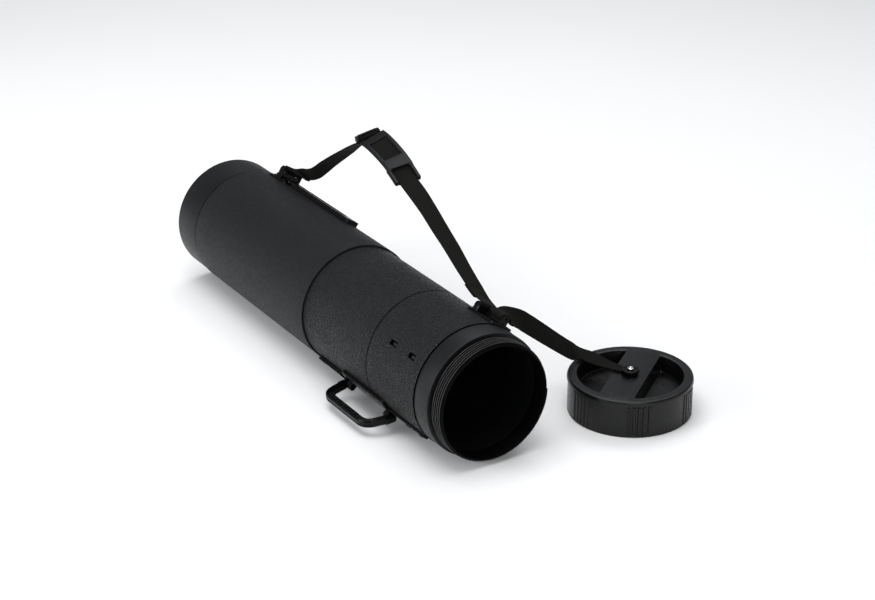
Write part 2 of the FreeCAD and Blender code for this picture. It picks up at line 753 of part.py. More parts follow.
PAD_OVER_WEBBING = 2.8
ROLL_MIDDLE = Vector(179.5, 70.5, 133.4)
ROLL_RADIUS = 3.3
ROLL_LENGTH = 26.0
ROLL_ACROSS = Vector(0.14, 0.95, 0.24)
LOOP_GAP = 0.3


def stations_of(run):
    """Stations of a ribbon, (middle, width direction, facing), square to the run."""
    points = [Vector(*point) for point, across in run]
    last = len(points) - 1
    stations = []
    for i, (point, across) in enumerate(run):
        direction = (points[min(i + 1, last)] - points[max(i - 1, 0)]).normalize()
        side = Vector(*across)
        side = (side - direction * side.dot(direction)).normalize()
        stations.append((points[i], side, direction.cross(side).normalize()))
    return stations


def beneath(stations, depth):
    """The same stations, moved to the inner side of the ribbon."""
    return [(point - facing * depth, side, facing) for point, side, facing in stations]


def webbing(label, run, loop_centre, loop_axis, width):
    """Ribbon of webbing whose one end is folded round a bar."""
    thick = size("web_thickness")
    inner = size("bar_radius") + LOOP_GAP
    ring = Part.makeCylinder(inner + thick, width, loop_centre - loop_axis * (width / 2),
                             loop_axis)
    bore = Part.makeCylinder(inner, width + 6.0,
                             loop_centre - loop_axis * (width / 2 + 3.0), loop_axis)
    strip = ribbon(label + "_run", run, width, thick)
    made = doc.addObject("Part::Feature", label)
    made.Shape = strip.Shape.fuse(ring).cut(bore)
    doc.removeObject(strip.Name)
    return subpart(made, label)


def make_strap(rear_bar_out, front_bar_out):
    """Two pieces of webbing, the buckle between them and the moulded pad over the front one."""
    angle = size("strap_angle")
    width = size("web_width")
    tangent = sideways(angle) * -1
    over_bar = outward(angle) * (size("bar_radius") + LOOP_GAP + size("web_thickness") / 2)

    rear_bar = on_tube(size("rear_bar_station"), rear_bar_out, angle)
    start = (rear_bar + over_bar, tangent, outward(angle))
    webbing("shoulder_strap_rear", [start] + stations_of(REAR_RUN), rear_bar, tangent, width)

    front_bar = on_tube(size("front_bar_station"), front_bar_out, angle)
    pad = stations_of(PAD_RUN)
    end = (front_bar + over_bar, tangent, outward(angle))
    run = beneath(pad, PAD_OVER_WEBBING) + stations_of(FRONT_RUN) + [end]
    webbing("shoulder_strap_front", run, front_bar, tangent, width)

    blank = ribbon("pad_blank", pad, PAD_WIDTH, PAD_THICKNESS)
    window = ribbon("pad_window", pad[1:5], PAD_WIDTH - 2 * PAD_RAIL, PAD_THICKNESS + 4.0)
    made = doc.addObject("Part::Feature", "shoulder_pad")
    made.Shape = blank.Shape.cut(window.Shape)
    doc.removeObject(blank.Name)
    doc.removeObject(window.Name)
    subpart(made, "shoulder_pad")
    make_buckle()


def make_buckle():
    """Roll that clamps the rear webbing, carried on two cheeks at the pad's end."""
    across = Vector(*ROLL_ACROSS).normalize()
    ahead = (Vector(*PAD_RUN[0][0]) - ROLL_MIDDLE)
    ahead = (ahead - across * ahead.dot(across)).normalize()
    facing = ahead.cross(across)
    cheek_length = 10.0
    cheek_thickness = 2.2
    cheek_height = 5.0
    roll = doc.addObject("Part::Cylinder", "buckle_roll")
    roll.Radius = ROLL_RADIUS
    roll.Height = ROLL_LENGTH
    roll.Placement = Placement(ROLL_MIDDLE - across * (ROLL_LENGTH / 2),
                               Rotation(Vector(0, 0, 1), across))
    pieces = [roll]
    for sign in (-1, 1):
        centre = ROLL_MIDDLE + across * (sign * (ROLL_LENGTH - cheek_thickness) / 2)
        centre -= facing * (cheek_height / 2)
        pieces.append(block(f"buckle_cheek_{'a' if sign < 0 else 'b'}", str(cheek_length),
                            str(cheek_thickness), str(cheek_height), centre, ahead, facing))
    subpart(joined("strap_buckle", pieces), "strap_buckle")


# Middle line of the tether from the side bar to the lid's rim.
TETHER_RUN = [
    ((469.8, 44.4, 56.6), (-0.96, -0.05, 0.24)), ((466.8, 51.6, 51.6), (-0.72, 0.21, 0.67)),
    ((463.5, 65.6, 42.6), (-0.35, 0.48, 0.80)), ((461.5, 73.8, 36.1), (-0.26, 0.57, 0.78)),
    ((457.6, 90.0, 22.7), (-0.32, 0.56, 0.77)), ((453.8, 106.2, 9.3), (-0.42, 0.52, 0.75)),
    ((450.0, 122.1, -3.8), (-0.50, 0.47, 0.73)), ((446.9, 137.0, -15.4), (-0.58, 0.50, 0.64)),
    ((448.4, 146.6, -20.2), (-0.78, 0.58, 0.16)), ((455.0, 152.4, -22.6), (-0.36, 0.93, 0.05)),
]
TONGUE_LIFT = 1.2


def make_tether(bar_out):
    """Webbing from the side bar to the lid, folded to a narrow tongue under the disc."""
    angle = size("strap_angle")
    thick = size("web_thickness")
    width = size("tether_width")
    middle = (size("tether_bar_start") + size("tether_bar_end")) / 2
    bar = on_tube(middle, bar_out, angle)
    over_bar = outward(angle) * (size("bar_radius") + LOOP_GAP + thick / 2)
    stations = [(bar + over_bar, AXIS_X * -1, outward(angle))] + stations_of(TETHER_RUN)
    tether = webbing("lid_tether", stations, bar, AXIS_X, width)

    lid_top = size("lid_height") - size("rear_radius")
    centre = Vector(size("lid_station"), size("lid_offset"), lid_top + TONGUE_LIFT)
    tongue_start, flat, facing = stations[-1]
    level = Vector(centre.x - tongue_start.x, centre.y - tongue_start.y, 0).normalize()
    rise = Vector(0, 0, thick / 2)
    level_side = rise.cross(level).normalize()
    wires = []
    for point, half, side in ((tongue_start, width / 2, flat),
                              (centre - level * 30.0, 7.6, level_side),
                              (centre - level * 9.5, 5.0, level_side),
                              (centre + level * 4.0, 4.5, level_side)):
        corners = [point + side * half + rise, point - side * half + rise,
                   point - side * half - rise, point + side * half - rise]
        wires.append(Part.makePolygon(corners + corners[:1]))
    tongue = Part.makeLoft(wires, True, True)
    rivet_hole = Part.makeCylinder(size("lid_rivet_radius") + 0.2, 8.0,
                                   centre - Vector(0, 0, 4.0), Vector(0, 0, 1))
    tether.Shape = tether.Shape.fuse(tongue).cut(rivet_hole)


# ---------------------------------------------------------------- lid

RIDGE_FEET = (13.0, 10.0, 7.0, 4.0)
RIDGE_DEPTH = 0.8
BAR_LENGTH = 120.0
WASHER_THICKNESS = 1.0


def make_lid():
    """Screw cap, rim down: threaded skirt, two half-moon wells and a hollow bar between them."""
    place = Vector(size("lid_station"), size("lid_offset"), -size("rear_radius"))
    well_out = "well_radius + lid_wall"
    roof = "lid_height - lid_wall"
    crest = f"lid_socket_radius - {RIDGE_DEPTH}"
    profile = [
        ("0", "lid_socket_radius"), ("0", "lid_radius - 0.5"), ("0.5", "lid_radius"),
        ("lid_height - 4.5", "lid_radius"), ("lid_height - 3.6", "lid_top_radius"),
        ("lid_height - 1.2", "lid_top_radius"), ("lid_height", "lid_top_radius - 1.2"),
        ("lid_height", well_out), (roof, well_out), (roof, "lid_socket_radius"),
    ]
    for foot in RIDGE_FEET:
        profile += [(f"{foot + 2.0}", "lid_socket_radius"), (f"{foot + 1.3}", crest),
                    (f"{foot + 0.7}", crest), (f"{foot}", "lid_socket_radius")]
    skirt = subpart(revolved("lid_skirt", profile, upright=True), "lid_skirt")

    cup = revolved("lid_cup", [
        ("lid_socket_depth", "0"), ("lid_socket_depth", well_out), ("lid_height", well_out),
        ("lid_height", "well_radius + 0.6"), ("lid_height - 0.6", "well_radius"),
        ("well_floor", "well_radius"), ("well_floor", "0"),
    ], upright=True)
    up = Vector(0, 0, 1)
    turn = math.radians(size("grip_bar_angle"))
    along = Vector(math.cos(turn), math.sin(turn), 0)
    floor = size("well_floor")
    top = size("lid_height")
    roof_height = sheet_value(roof)
    inner_width = "grip_bar_width - lid_wall - lid_wall"
    opening = block("grip_opening", str(BAR_LENGTH), inner_width, str(roof_height),
                    Vector(0, 0, roof_height / 2), along, up)
    well_round = cylinder("grip_round", "well_radius", "lid_height", Vector(0, 0, 0), up)
    gap = doc.addObject("Part::Common", "grip_gap")
    gap.Base = opening
    gap.Tool = well_round
    well = subpart(cut("lid_well", cup, [gap]), "lid_well")

    outside = block("grip_outside", str(BAR_LENGTH), "grip_bar_width", str(top - floor),
                    Vector(0, 0, (top + floor) / 2), along, up)
    bar_round = cylinder("grip_bar_round", "well_radius", "lid_height", Vector(0, 0, 0), up)
    solid = doc.addObject("Part::Common", "grip_solid")
    solid.Base = outside
    solid.Tool = bar_round
    hollow = block("grip_hollow", str(BAR_LENGTH), inner_width, str(roof_height - floor),
                   Vector(0, 0, (roof_height + floor) / 2), along, up)
    hole = cylinder("lid_rivet_hole", "lid_rivet_radius + running_gap", "lid_height + 10",
                    Vector(0, 0, -1), up)
    bar = subpart(cut("lid_grip_bar", solid, [hollow, hole]), "lid_grip_bar")
    for piece in (skirt, well, bar):
        piece.Placement = Placement(place, Rotation())
    make_swivel(place + up * top, up)


def make_swivel(lid_top, up):
    """Disc that holds the tether on the lid, its rivet and the washer under the bar."""
    disc_foot = lid_top + up * size("disc_lift")
    disc = cylinder("disc_round", "disc_radius", "disc_height", disc_foot, up)
    disc_hole = cylinder("disc_hole", "lid_rivet_radius", "disc_height + 2", disc_foot - up, up)
    subpart(cut("swivel_disc", disc, [disc_hole]), "swivel_disc")

    under_bar = lid_top - up * (sheet_value("lid_wall + running_gap") + WASHER_THICKNESS)
    disc_top = disc_foot + up * size("disc_height")
    stem = cylinder("lid_rivet_stem", "lid_rivet_radius", f"{(disc_top - under_bar).z:.3f}",
                    under_bar, up)
    head = cylinder("lid_rivet_cap", "lid_rivet_head_radius", "lid_rivet_head", disc_top, up)
    subpart(joined("lid_rivet", [stem, head]), "lid_rivet")
    washer = cylinder("washer_round", "lid_rivet_radius + 3", str(WASHER_THICKNESS), under_bar,
                      up)
    washer_hole = cylinder("washer_hole", "lid_rivet_radius", f"{WASHER_THICKNESS + 2.0}",
                           under_bar - up, up)
    subpart(cut("rivet_washer", washer, [washer_hole]), "rivet_washer")


# ---------------------------------------------------------------- everything

def main():
    make_end_cap()
    make_rear_tube()
    make_guide_bush()
    make_strap_rail()
    rear_bar_out = make_rear_bracket()
    make_inner_tube()
    make_front_sleeves()
    make_neck()
    make_handle_mounting()
    make_handle()
    front_bar_out = make_front_bracket()
    make_strap(rear_bar_out, front_bar_out)
    make_tether(front_bar_out)
    make_lid()
    doc.recompute()

    for obj in doc.Objects:
        if "Invalid" in obj.State or "Error" in obj.State:
            raise RuntimeError(f"{obj.Label} failed: {obj.State}")
    os.makedirs("parts", exist_ok=True)
    for piece in subparts:
        shape = piece.Shape
        if shape.isNull() or not shape.isValid():
            raise RuntimeError(f"{piece.Label} has no valid shape")
    for piece in subparts:
        piece.Shape.exportStep(f"parts/{piece.Label}.step")
        box = piece.Shape.BoundBox
        print(f"{piece.Label:22s} solids {len(piece.Shape.Solids)} volume {piece.Shape.Volume:10.1f}"
              f"  x {box.XMin:7.1f} {box.XMax:7.1f}  y {box.YMin:7.1f} {box.YMax:7.1f}"
              f"  z {box.ZMin:7.1f} {box.ZMax:7.1f}")


main()
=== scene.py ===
from math import acos, cos, degrees, pi, radians, sin, sqrt

import bmesh
import bpy
from mathutils import Matrix, Vector


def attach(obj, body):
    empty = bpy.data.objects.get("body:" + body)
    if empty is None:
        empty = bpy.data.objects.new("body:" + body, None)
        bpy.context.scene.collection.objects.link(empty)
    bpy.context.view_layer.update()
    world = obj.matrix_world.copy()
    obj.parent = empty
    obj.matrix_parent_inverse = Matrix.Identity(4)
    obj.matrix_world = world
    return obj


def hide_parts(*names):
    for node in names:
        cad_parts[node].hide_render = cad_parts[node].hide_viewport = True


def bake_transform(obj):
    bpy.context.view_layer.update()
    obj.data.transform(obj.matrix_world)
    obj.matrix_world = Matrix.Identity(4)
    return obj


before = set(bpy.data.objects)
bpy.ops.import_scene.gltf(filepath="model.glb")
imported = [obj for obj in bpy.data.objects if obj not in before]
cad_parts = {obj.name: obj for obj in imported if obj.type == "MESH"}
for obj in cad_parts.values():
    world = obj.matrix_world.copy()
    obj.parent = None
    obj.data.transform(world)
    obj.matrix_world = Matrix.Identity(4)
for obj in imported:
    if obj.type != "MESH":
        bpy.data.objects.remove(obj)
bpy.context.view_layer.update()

MM = 0.001
AXIS_X = Vector((1, 0, 0))
AXIS_Z = Vector((0, 0, 1))

# Sizes below are in millimetres. Radii of the tubes and stations along them:
REAR_R, CAP_R, FRONT_R, BAND_R, SLIDE_R, ROLL_R = 62.5, 61.7, 60.8, 60.3, 58.0, 54.6
CAP_END = 41.9
REAR_START, REAR_END = 42.6, 276.5
SLEEVE_START, SLEEVE_END = 277.2, 397.5
COLLAR_START, COLLAR_END = 398.3, 482.0
MOUTH = 523.4

# The bars that hold the webbing, and the webbing's folds round them:
STRAP_ANGLE = radians(56.0)
REAR_BAR_X, REAR_BAR_OUT = 68.0, REAR_R + 12.5
FRONT_BAR_X, FRONT_BAR_OUT = 451.6, FRONT_R + 7.6
TETHER_BAR_X, TETHER_BAR_LENGTH = 458.4, 24.0
BAR_R, FOLD_R = 1.8, 2.9
EAR_INSIDE, EAR_THICK = 10.8, 2.0
EAR_OUTSIDE = EAR_INSIDE + EAR_THICK
STRAP_WIDTH, STRAP_THICK = 19.4, 1.5
TETHER_WIDTH = 18.2
PAD_SINK = 2.6

# The handle's hinge, half-way between its two pins:
HANDLE_ANGLE = radians(-136.0)
HINGE_X, HINGE_OUT = 380.5, 66.9

# The lid, lying on the floor with its open side down:
LID_X, LID_Y, LID_BASE = 500.0, 168.0, -62.5
LID_TURN = radians(-52.0)

# The screw thread on the neck:
THREAD_ROOT, THREAD_CREST, THREAD_PITCH = 55.9, 57.7, 2.9


# ---------------------------------------------------------------- materials

class Finish:
    """A node material on one Principled shader; texture sizes and depths are in millimetres."""

    def __init__(self, name, colour, rough, **sockets):
        self.material = bpy.data.materials.new(name)
        self.material.use_nodes = True
        self.nodes = self.material.node_tree.nodes
        self.links = self.material.node_tree.links
        self.shader = self.nodes["Principled BSDF"]
        self.shader.inputs["Base Color"].default_value = (*colour, 1)
        self.shader.inputs["Roughness"].default_value = rough
        self.shader.inputs["Specular IOR Level"].default_value = 0.22
        for socket, value in sockets.items():
            self.shader.inputs[socket.replace("_", " ")].default_value = value
        self.place = self.nodes.new("ShaderNodeTexCoord")
        self.normal = None

    def node(self, kind, **values):
        made = self.nodes.new("ShaderNode" + kind)
        for key, value in values.items():
            if hasattr(made, key):
                setattr(made, key, value)
            else:
                made.inputs[key.replace("_", " ")].default_value = value
        return made

    def join(self, source, target):
        self.links.new(source, target)

    def math(self, operation, first, second=0.0):
        made = self.node("Math", operation=operation)
        for socket, value in zip(made.inputs, (first, second)):
            if isinstance(value, (int, float)):
                socket.default_value = value
            else:
                self.join(value, socket)
        return made.outputs[0]

    def noise(self, size, detail=3.0, rough=0.55):
        made = self.node("TexNoise", Scale=1 / (size * MM), Detail=detail, Roughness=rough)
        self.join(self.place.outputs["Object"], made.inputs["Vector"])
        return made.outputs["Fac"]

    def cells(self, size, warp, feature="F1"):
        """Distance in a Voronoi pattern whose cells are bent by noise."""
        made = self.node("TexVoronoi", feature=feature, Scale=1 / (size * MM))
        swirl = self.node("TexNoise", Scale=0.6 / (size * MM), Detail=2.0)
        self.join(self.place.outputs["Object"], swirl.inputs["Vector"])
        bent = self.node("VectorMath", operation="MULTIPLY_ADD")
        self.join(swirl.outputs["Color"], bent.inputs[0])
        bent.inputs[1].default_value = (warp * size * MM,) * 3
        self.join(self.place.outputs["Object"], bent.inputs[2])
        self.join(bent.outputs[0], made.inputs["Vector"])
        return made.outputs["Distance"]

    def ramp(self, fac, *stops):
        made = self.node("ValToRGB")
        while len(made.color_ramp.elements) < len(stops):
            made.color_ramp.elements.new(0.5)
        for element, (at, colour) in zip(made.color_ramp.elements, stops):
            element.position = at
            grey = (colour,) * 3 if isinstance(colour, (int, float)) else colour
            element.color = (*grey, 1)
        self.join(fac, made.inputs["Fac"])
        return made.outputs["Color"]

    def colour(self, fac, *stops):
        self.join(self.ramp(fac, *stops), self.shader.inputs["Base Color"])

    def rough(self, fac, low, high):
        self.join(self.ramp(fac, (0.3, low), (0.7, high)), self.shader.inputs["Roughness"])

    def bump(self, height, depth):
        made = self.node("Bump", Strength=1.0, Distance=depth * MM)
        self.join(height, made.inputs["Height"])
        if self.normal is not None:
            self.join(self.normal, made.inputs["Normal"])
        self.normal = made.outputs["Normal"]
        self.join(self.normal, self.shader.inputs["Normal"])


def grained(name, cell, depth, dark, light, rough):
    """Leather-grain plastic: warped cells with creases between them, and a fine tooth; the creases
    are darkened with painted shade.
    """
    finish = Finish(name, dark, rough)
    edge = finish.cells(cell, 0.9, "DISTANCE_TO_EDGE")
    pebble = finish.ramp(edge, (0.0, 0.0), (0.16, 0.62), (0.5, 1.0))
    finish.bump(pebble, depth)
    finish.bump(finish.cells(cell * 0.42, 0.5), depth * 0.22)
    finish.bump(finish.noise(0.35), 0.03)
    patches = finish.noise(38.0, 2.0)
    # colour: painted shade darkens the creases between the cells, mixed with random patches of tone
    crease_shade_tone = finish.math("ADD", finish.math("MULTIPLY", pebble, 0.55),
                       finish.math("MULTIPLY", patches, 0.45))
    finish.colour(crease_shade_tone, (0.15, dark), (0.85, light))
    finish.rough(pebble, rough + 0.26, rough - 0.04)
    return finish.material


def threaded(name, dark, light, rough):
    """Screw thread: dull roots with painted shade and lighter crests with a painted highlight, told
    apart by the radius.
    """
    finish = Finish(name, dark, rough, Specular_IOR_Level=0.06)
    split = finish.node("SeparateXYZ")
    finish.join(finish.place.outputs["Object"], split.inputs[0])
    squares = [finish.math("POWER", split.outputs[k], 2.0) for k in (1, 2)]
    distance = finish.math("SQRT", finish.math("ADD", *squares))
    above_root = finish.math("SUBTRACT", distance, THREAD_ROOT * MM)
    height = finish.math("DIVIDE", above_root, (THREAD_CREST - THREAD_ROOT) * MM)
    # colour: a painted highlight on the crests and painted shade in the roots, with a little random
    # tone
    crest_light_root_shade = finish.math("ADD", height, finish.math("MULTIPLY", finish.noise(3.0), 0.1))
    finish.colour(crest_light_root_shade, (0.62, dark), (0.98, light))
    finish.rough(crest_light_root_shade, rough + 0.3, rough)
    finish.bump(finish.noise(0.5, 2.0), 0.01)
    return finish.material


def moulded(name, dark, light, rough, tooth=0.02, **sockets):
    """Smooth moulded plastic: a very fine spark texture, faint flow marks and scuffs."""
    finish = Finish(name, dark, rough, **sockets)
    finish.bump(finish.noise(0.5, 2.0), tooth)
    finish.bump(finish.noise(14.0, 2.0), tooth * 2.0)
    finish.colour(finish.noise(26.0, 4.0), (0.3, dark), (0.75, light))
    scuffs = finish.noise(5.0, 6.0, 0.7)
    finish.rough(scuffs, rough - 0.05, rough + 0.1)
    return finish.material


def woven(name, dark, light):
    """Webbing: plain weave of thick weft rows and finer warp columns, with loose fibre."""
    finish = Finish(name, dark, 0.85, Sheen_Weight=0.02, Sheen_Roughness=0.5,
                    Specular_IOR_Level=0.12)
    finish.shader.inputs["Sheen Tint"].default_value = (0.75, 0.72, 0.62, 1)
    weft_pitch, warp_pitch = 1.5, 1.3
    split = finish.node("SeparateXYZ")
    finish.join(finish.place.outputs["UV"], split.inputs[0])
    row = finish.math("MULTIPLY", split.outputs[0], 2 * pi / weft_pitch)
    column = finish.math("MULTIPLY", split.outputs[1], 2 * pi / warp_pitch)
    rows, columns = finish.math("SINE", row), finish.math("SINE", column)
    half_rows = finish.math("SINE", finish.math("MULTIPLY", row, 0.5))
    half_columns = finish.math("SINE", finish.math("MULTIPLY", column, 0.5))
    over = finish.math("MULTIPLY", half_rows, half_columns)
    weave = finish.math("ADD", finish.math("MULTIPLY", over, 0.55),
                        finish.math("MULTIPLY", finish.math("ADD", rows, columns), 0.25))
    height = finish.math("ADD", finish.math("MULTIPLY", weave, 0.5), 0.5)
    finish.bump(height, 0.32)
    finish.bump(finish.noise(0.3, 2.0), 0.06)
    # colour: painted shade darkens the low parts of the weave, mixed with random tone
    weave_shade_and_tone = finish.math("ADD", finish.math("MULTIPLY", height, 0.6),
                       finish.math("MULTIPLY", finish.noise(9.0, 4.0), 0.4))
    finish.colour(weave_shade_and_tone, (0.2, dark), (0.85, light))
    return finish.material


def steel(name, colour, rough, depth, **sockets):
    """Painted or polished metal with small dents and uneven polish."""
    finish = Finish(name, colour, rough, **sockets)
    finish.bump(finish.noise(1.2, 4.0), depth)
    low = tuple(c * 0.8 for c in colour)
    finish.colour(finish.noise(3.0, 3.0), (0.3, low), (0.7, colour))
    finish.rough(finish.noise(0.9, 5.0), max(0.04, rough - 0.06), rough + 0.08)
    return finish.material


# finishes: darkest and lightest base colour, then roughness
FINE = grained("fine_grain", 1.4, 0.28, (0.0018, 0.0019, 0.0023), (0.0060, 0.0064, 0.0075), 0.40)
COARSE = grained("coarse_grain", 2.3, 0.9, (0.0008, 0.0008, 0.0010), (0.0092, 0.0097, 0.0112), 0.36)
SATIN = moulded("satin_shell", (0.0028, 0.0030, 0.0034), (0.0044, 0.0047, 0.0054), 0.42, 0.025)
LID = moulded("lid_satin", (0.0018, 0.0019, 0.0022), (0.0036, 0.0038, 0.0042), 0.28, 0.02,
              Specular_IOR_Level=0.3)
TRIM = moulded("trim_plastic", (0.0012, 0.0012, 0.0013), (0.0020, 0.0020, 0.0022), 0.24, 0.004,
               Specular_IOR_Level=0.13)
# the thread's lightest colour is the painted highlight on its crests, its darkest the painted shade
# in its roots
THREAD = threaded("thread_plastic", (0.0003, 0.0003, 0.0003), (0.0550, 0.0550, 0.0560), 0.3)
PAD = moulded("pad_plastic", (0.0030, 0.0031, 0.0034), (0.0052, 0.0054, 0.0058), 0.34, 0.02,
              Specular_IOR_Level=0.18)
# near-black with no specular reflection: painted shade for the seam rings and the window floors
PAINTED_SHADE = moulded("painted_shade_floor", (0.0001, 0.0001, 0.0001), (0.0003, 0.0003, 0.0003), 0.9, 0.02,
              Specular_IOR_Level=0.0)
INNER = moulded("inner_plastic", (0.0030, 0.0031, 0.0034), (0.0050, 0.0052, 0.0056), 0.34, 0.015)
RUBBER = moulded("soft_rubber", (0.0030, 0.0030, 0.0030), (0.0055, 0.0055, 0.0055), 0.7, 0.06)
WEBBING = woven("webbing_weave", (0.0005, 0.0005, 0.0004), (0.0040, 0.0037, 0.0029))
BLACK_STEEL = steel("black_steel", (0.0055, 0.0055, 0.0060), 0.32, 0.03, Metallic=0.3)
CHROME = steel("bright_rivet", (0.80, 0.80, 0.81), 0.16, 0.015, Metallic=1.0)

# bodies of the two tube sections
REAR, FRONT = "rear_section", "front_section"


# ---------------------------------------------------------------- outlines

def fillet(points, radius, closed=True, steps=4):
    """Round the corners of an outline; radius is one number or one for each point."""
    count = len(points)
    radii = radius if isinstance(radius, list) else [radius] * count
    result = []
    for i, point in enumerate(points):
        here = Vector(point)
        if radii[i] <= 0 or (not closed and i in (0, count - 1)):
            result.append(tuple(here))
            continue
        before = Vector(points[i - 1]) - here
        after = Vector(points[(i + 1) % count]) - here
        cut = min(radii[i], before.length * 0.45, after.length * 0.45)
        start, end = here + before.normalized() * cut, here + after.normalized() * cut
        for k in range(steps + 1):
            t = k / steps
            result.append(tuple(start * (1 - t) ** 2 + here * (2 * t * (1 - t)) + end * t * t))
    return result


def shrink(outline, amount):
    """Outline moved inward by an amount; counter-clockwise outlines."""
    count = len(outline)
    moved = []
    for i, point in enumerate(outline):
        here = Vector(point)
        back = here - Vector(outline[i - 1])
        on = Vector(outline[(i + 1) % count]) - here
        tangent = back.normalized() + on.normalized()
        if tangent.length < 1e-6:
            tangent = on
        tangent.normalize()
        inward = Vector((-tangent.y, tangent.x))
        spread = max(0.6, inward.dot(Vector((-on.normalized().y, on.normalized().x))))
        moved.append(tuple(here + inward * (amount / spread)))
    return moved


def rectangle(x0, x1, y0, y1, radius):
    return fillet([(x0, y0), (x1, y0), (x1, y1), (x0, y1)], radius)


def strip(x0, x1, sign, inner, outer, corner):
    """Rectangle on one side of the middle line."""
    return rectangle(x0, x1, *sorted((sign * inner, sign * outer)), corner)


def arch(width, height, level, steps, skip=0, start=0.0):
    """Half an ellipse standing on a level, without the skipped points at its ends."""
    turns = [start + pi * k / steps for k in range(skip, steps + 1 - skip)]
    return [(width * cos(turn), level + height * sin(turn)) for turn in turns]


def between(a, b, count):
    """Even points from a towards b, both flat, with neither end."""
    return [tuple(Vector(a).lerp(Vector(b), k / count)) for k in range(1, count)]


# ---------------------------------------------------------------- meshes

def link(obj):
    bpy.context.scene.collection.objects.link(obj)


class Form:
    """Vertices, faces and strap coordinates of one piece, in millimetres."""

    def __init__(self):
        self.verts, self.faces, self.marks = [], [], []

    def add(self, verts, faces, marks=None):
        base = len(self.verts)
        self.verts += [Vector(v) for v in verts]
        self.faces += [tuple(base + i for i in face) for face in faces]
        self.marks += list(marks) if marks else [(0.0, 0.0)] * len(verts)
        return self

    def rings(self, rings, marks=None, joined=False):
        """Skin over rings of equal length: the last is joined to the first, or both capped."""
        size = len(rings[0])
        verts = [v for ring in rings for v in ring]
        faces = []
        for i in range(len(rings) if joined else len(rings) - 1):
            a, b = i * size, ((i + 1) % len(rings)) * size
            for j in range(size):
                k = (j + 1) % size
                faces.append((a + j, a + k, b + k, b + j))
        if not joined:
            faces.append(tuple(range(size))[::-1])
            faces.append(tuple(range(len(verts) - size, len(verts))))
        return self.add(verts, faces, marks)

    def turned(self, profile, origin=(0, 0, 0), axis=AXIS_X, segments=48, radius=None):
        """Closed profile of (along, out) turned about an axis; radius bends it on the way."""
        axis = Vector(axis).normalized()
        first = axis.orthogonal().normalized()
        if abs(axis.x) > 0.99:
            first = Vector((0, 1, 0))
        second = axis.cross(first)
        origin = Vector(origin)
        rings = []
        for k in range(segments):
            turn = 2 * pi * k / segments
            out = first * cos(turn) + second * sin(turn)
            rings.append([origin + axis * a + out * (radius(a, r, turn) if radius else r)
                          for a, r in profile])
        return self.rings(rings, joined=True)

    def plate(self, outline, low, high, place, edge=0.4, cell=3.0, under=False):
        """Plate with rounded upper edges, laid by place(x, y, h); under rounds the lower ones.

        It is cut into strips no wider than a cell, so that it can follow a curved surface."""
        levels = [(0.0, low), (0.0, high - edge)]
        if under:
            levels = [(edge, low), (edge * 0.3, low + edge * 0.3), (0.0, low + edge),
                      (0.0, high - edge)]
        for step in (30, 60, 90):
            turn = radians(step)
            levels.append((edge * (1 - cos(turn)), high - edge + edge * sin(turn)))
        mesh = bmesh.new()
        loops = []
        for inset, height in levels:
            ring = shrink(outline, inset) if inset else outline
            loops.append([mesh.verts.new((x, y, height)) for x, y in ring])
        count = len(outline)
        for lower, upper in zip(loops, loops[1:]):
            for j in range(count):
                k = (j + 1) % count
                mesh.faces.new((lower[j], lower[k], upper[k], upper[j]))
        mesh.faces.new(loops[0][::-1])
        mesh.faces.new(loops[-1])
        for axis in (0, 1) if cell else ():
            values = [p[axis] for p in outline]
            start, end = min(values), max(values)
            strips = int((end - start) / cell) + 1
            for i in range(1, strips):
                at, normal = Vector(), Vector()
                at[axis] = start + (end - start) * i / strips
                normal[axis] = 1.0
                bmesh.ops.bisect_plane(mesh, geom=mesh.verts[:] + mesh.edges[:] + mesh.faces[:],
                                       plane_co=at, plane_no=normal)
        mesh.verts.index_update()
        verts = [place(*v.co) for v in mesh.verts]
        faces = [[v.index for v in f.verts] for f in mesh.faces]
        mesh.free()
        return self.add(verts, faces)

    def thing(self, name):
        """Object with this form's mesh, its faces all turned outwards."""
        mesh = bpy.data.meshes.new(name)
        mesh.from_pydata([v * MM for v in self.verts], [], self.faces)
        layer = mesh.uv_layers.new(name="UVMap")
        for loop in mesh.loops:
            layer.data[loop.index].uv = self.marks[loop.vertex_index]
        work = bmesh.new()
        work.from_mesh(mesh)
        bmesh.ops.recalc_face_normals(work, faces=work.faces[:])
        work.to_mesh(mesh)
        work.free()
        obj = bpy.data.objects.new(name, mesh)
        link(obj)
        return obj

    def finish(self, name, body, nodes, finish, sharp=38.0, slot=None):
        """The piece itself: smooth shading, material, body and replaced nodes; the slot argument is
        not used.
        """
        obj = self.thing(name)
        obj.data.shade_smooth()
        obj.data.set_sharp_from_angle(angle=radians(sharp))
        obj.data.materials.append(finish)
        if body:
            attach(obj, body)
        if nodes:
            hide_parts(*nodes)
        return obj


def outward(angle):
    """Direction from the tube's axis to its surface."""
    return Vector((0, cos(angle), sin(angle)))


def sideways(angle):
    """Direction round the tube's surface."""
    return Vector((0, -sin(angle), cos(angle)))


def on_tube(x, radius, angle, side=0.0):
    return AXIS_X * x + outward(angle) * radius + sideways(angle) * side


def wrapped(angle, radius):
    """Lays flat (x, round, height) on the tube about an angle."""
    def place(x, y, h):
        turn = angle + y / radius
        return Vector((x, (radius + h) * cos(turn), (radius + h) * sin(turn)))
    return place


def dome(form, origin, axis, radius, height):
    """Round rivet head with a rolled edge."""
    sink, flat, steps = 0.4, 0.12, 6
    profile = [(-sink, 0.0), (-sink, radius * 0.98), (height * flat, radius)]
    for k in range(1, steps + 1):
        turn = radians(90 * k / steps)
        rise = flat + (1 - flat) * sin(turn)
        profile.append((height * rise, radius * cos(turn)))
    profile = [(a, max(r, 0.001)) for a, r in profile]
    form.turned(profile, origin, axis, 28)


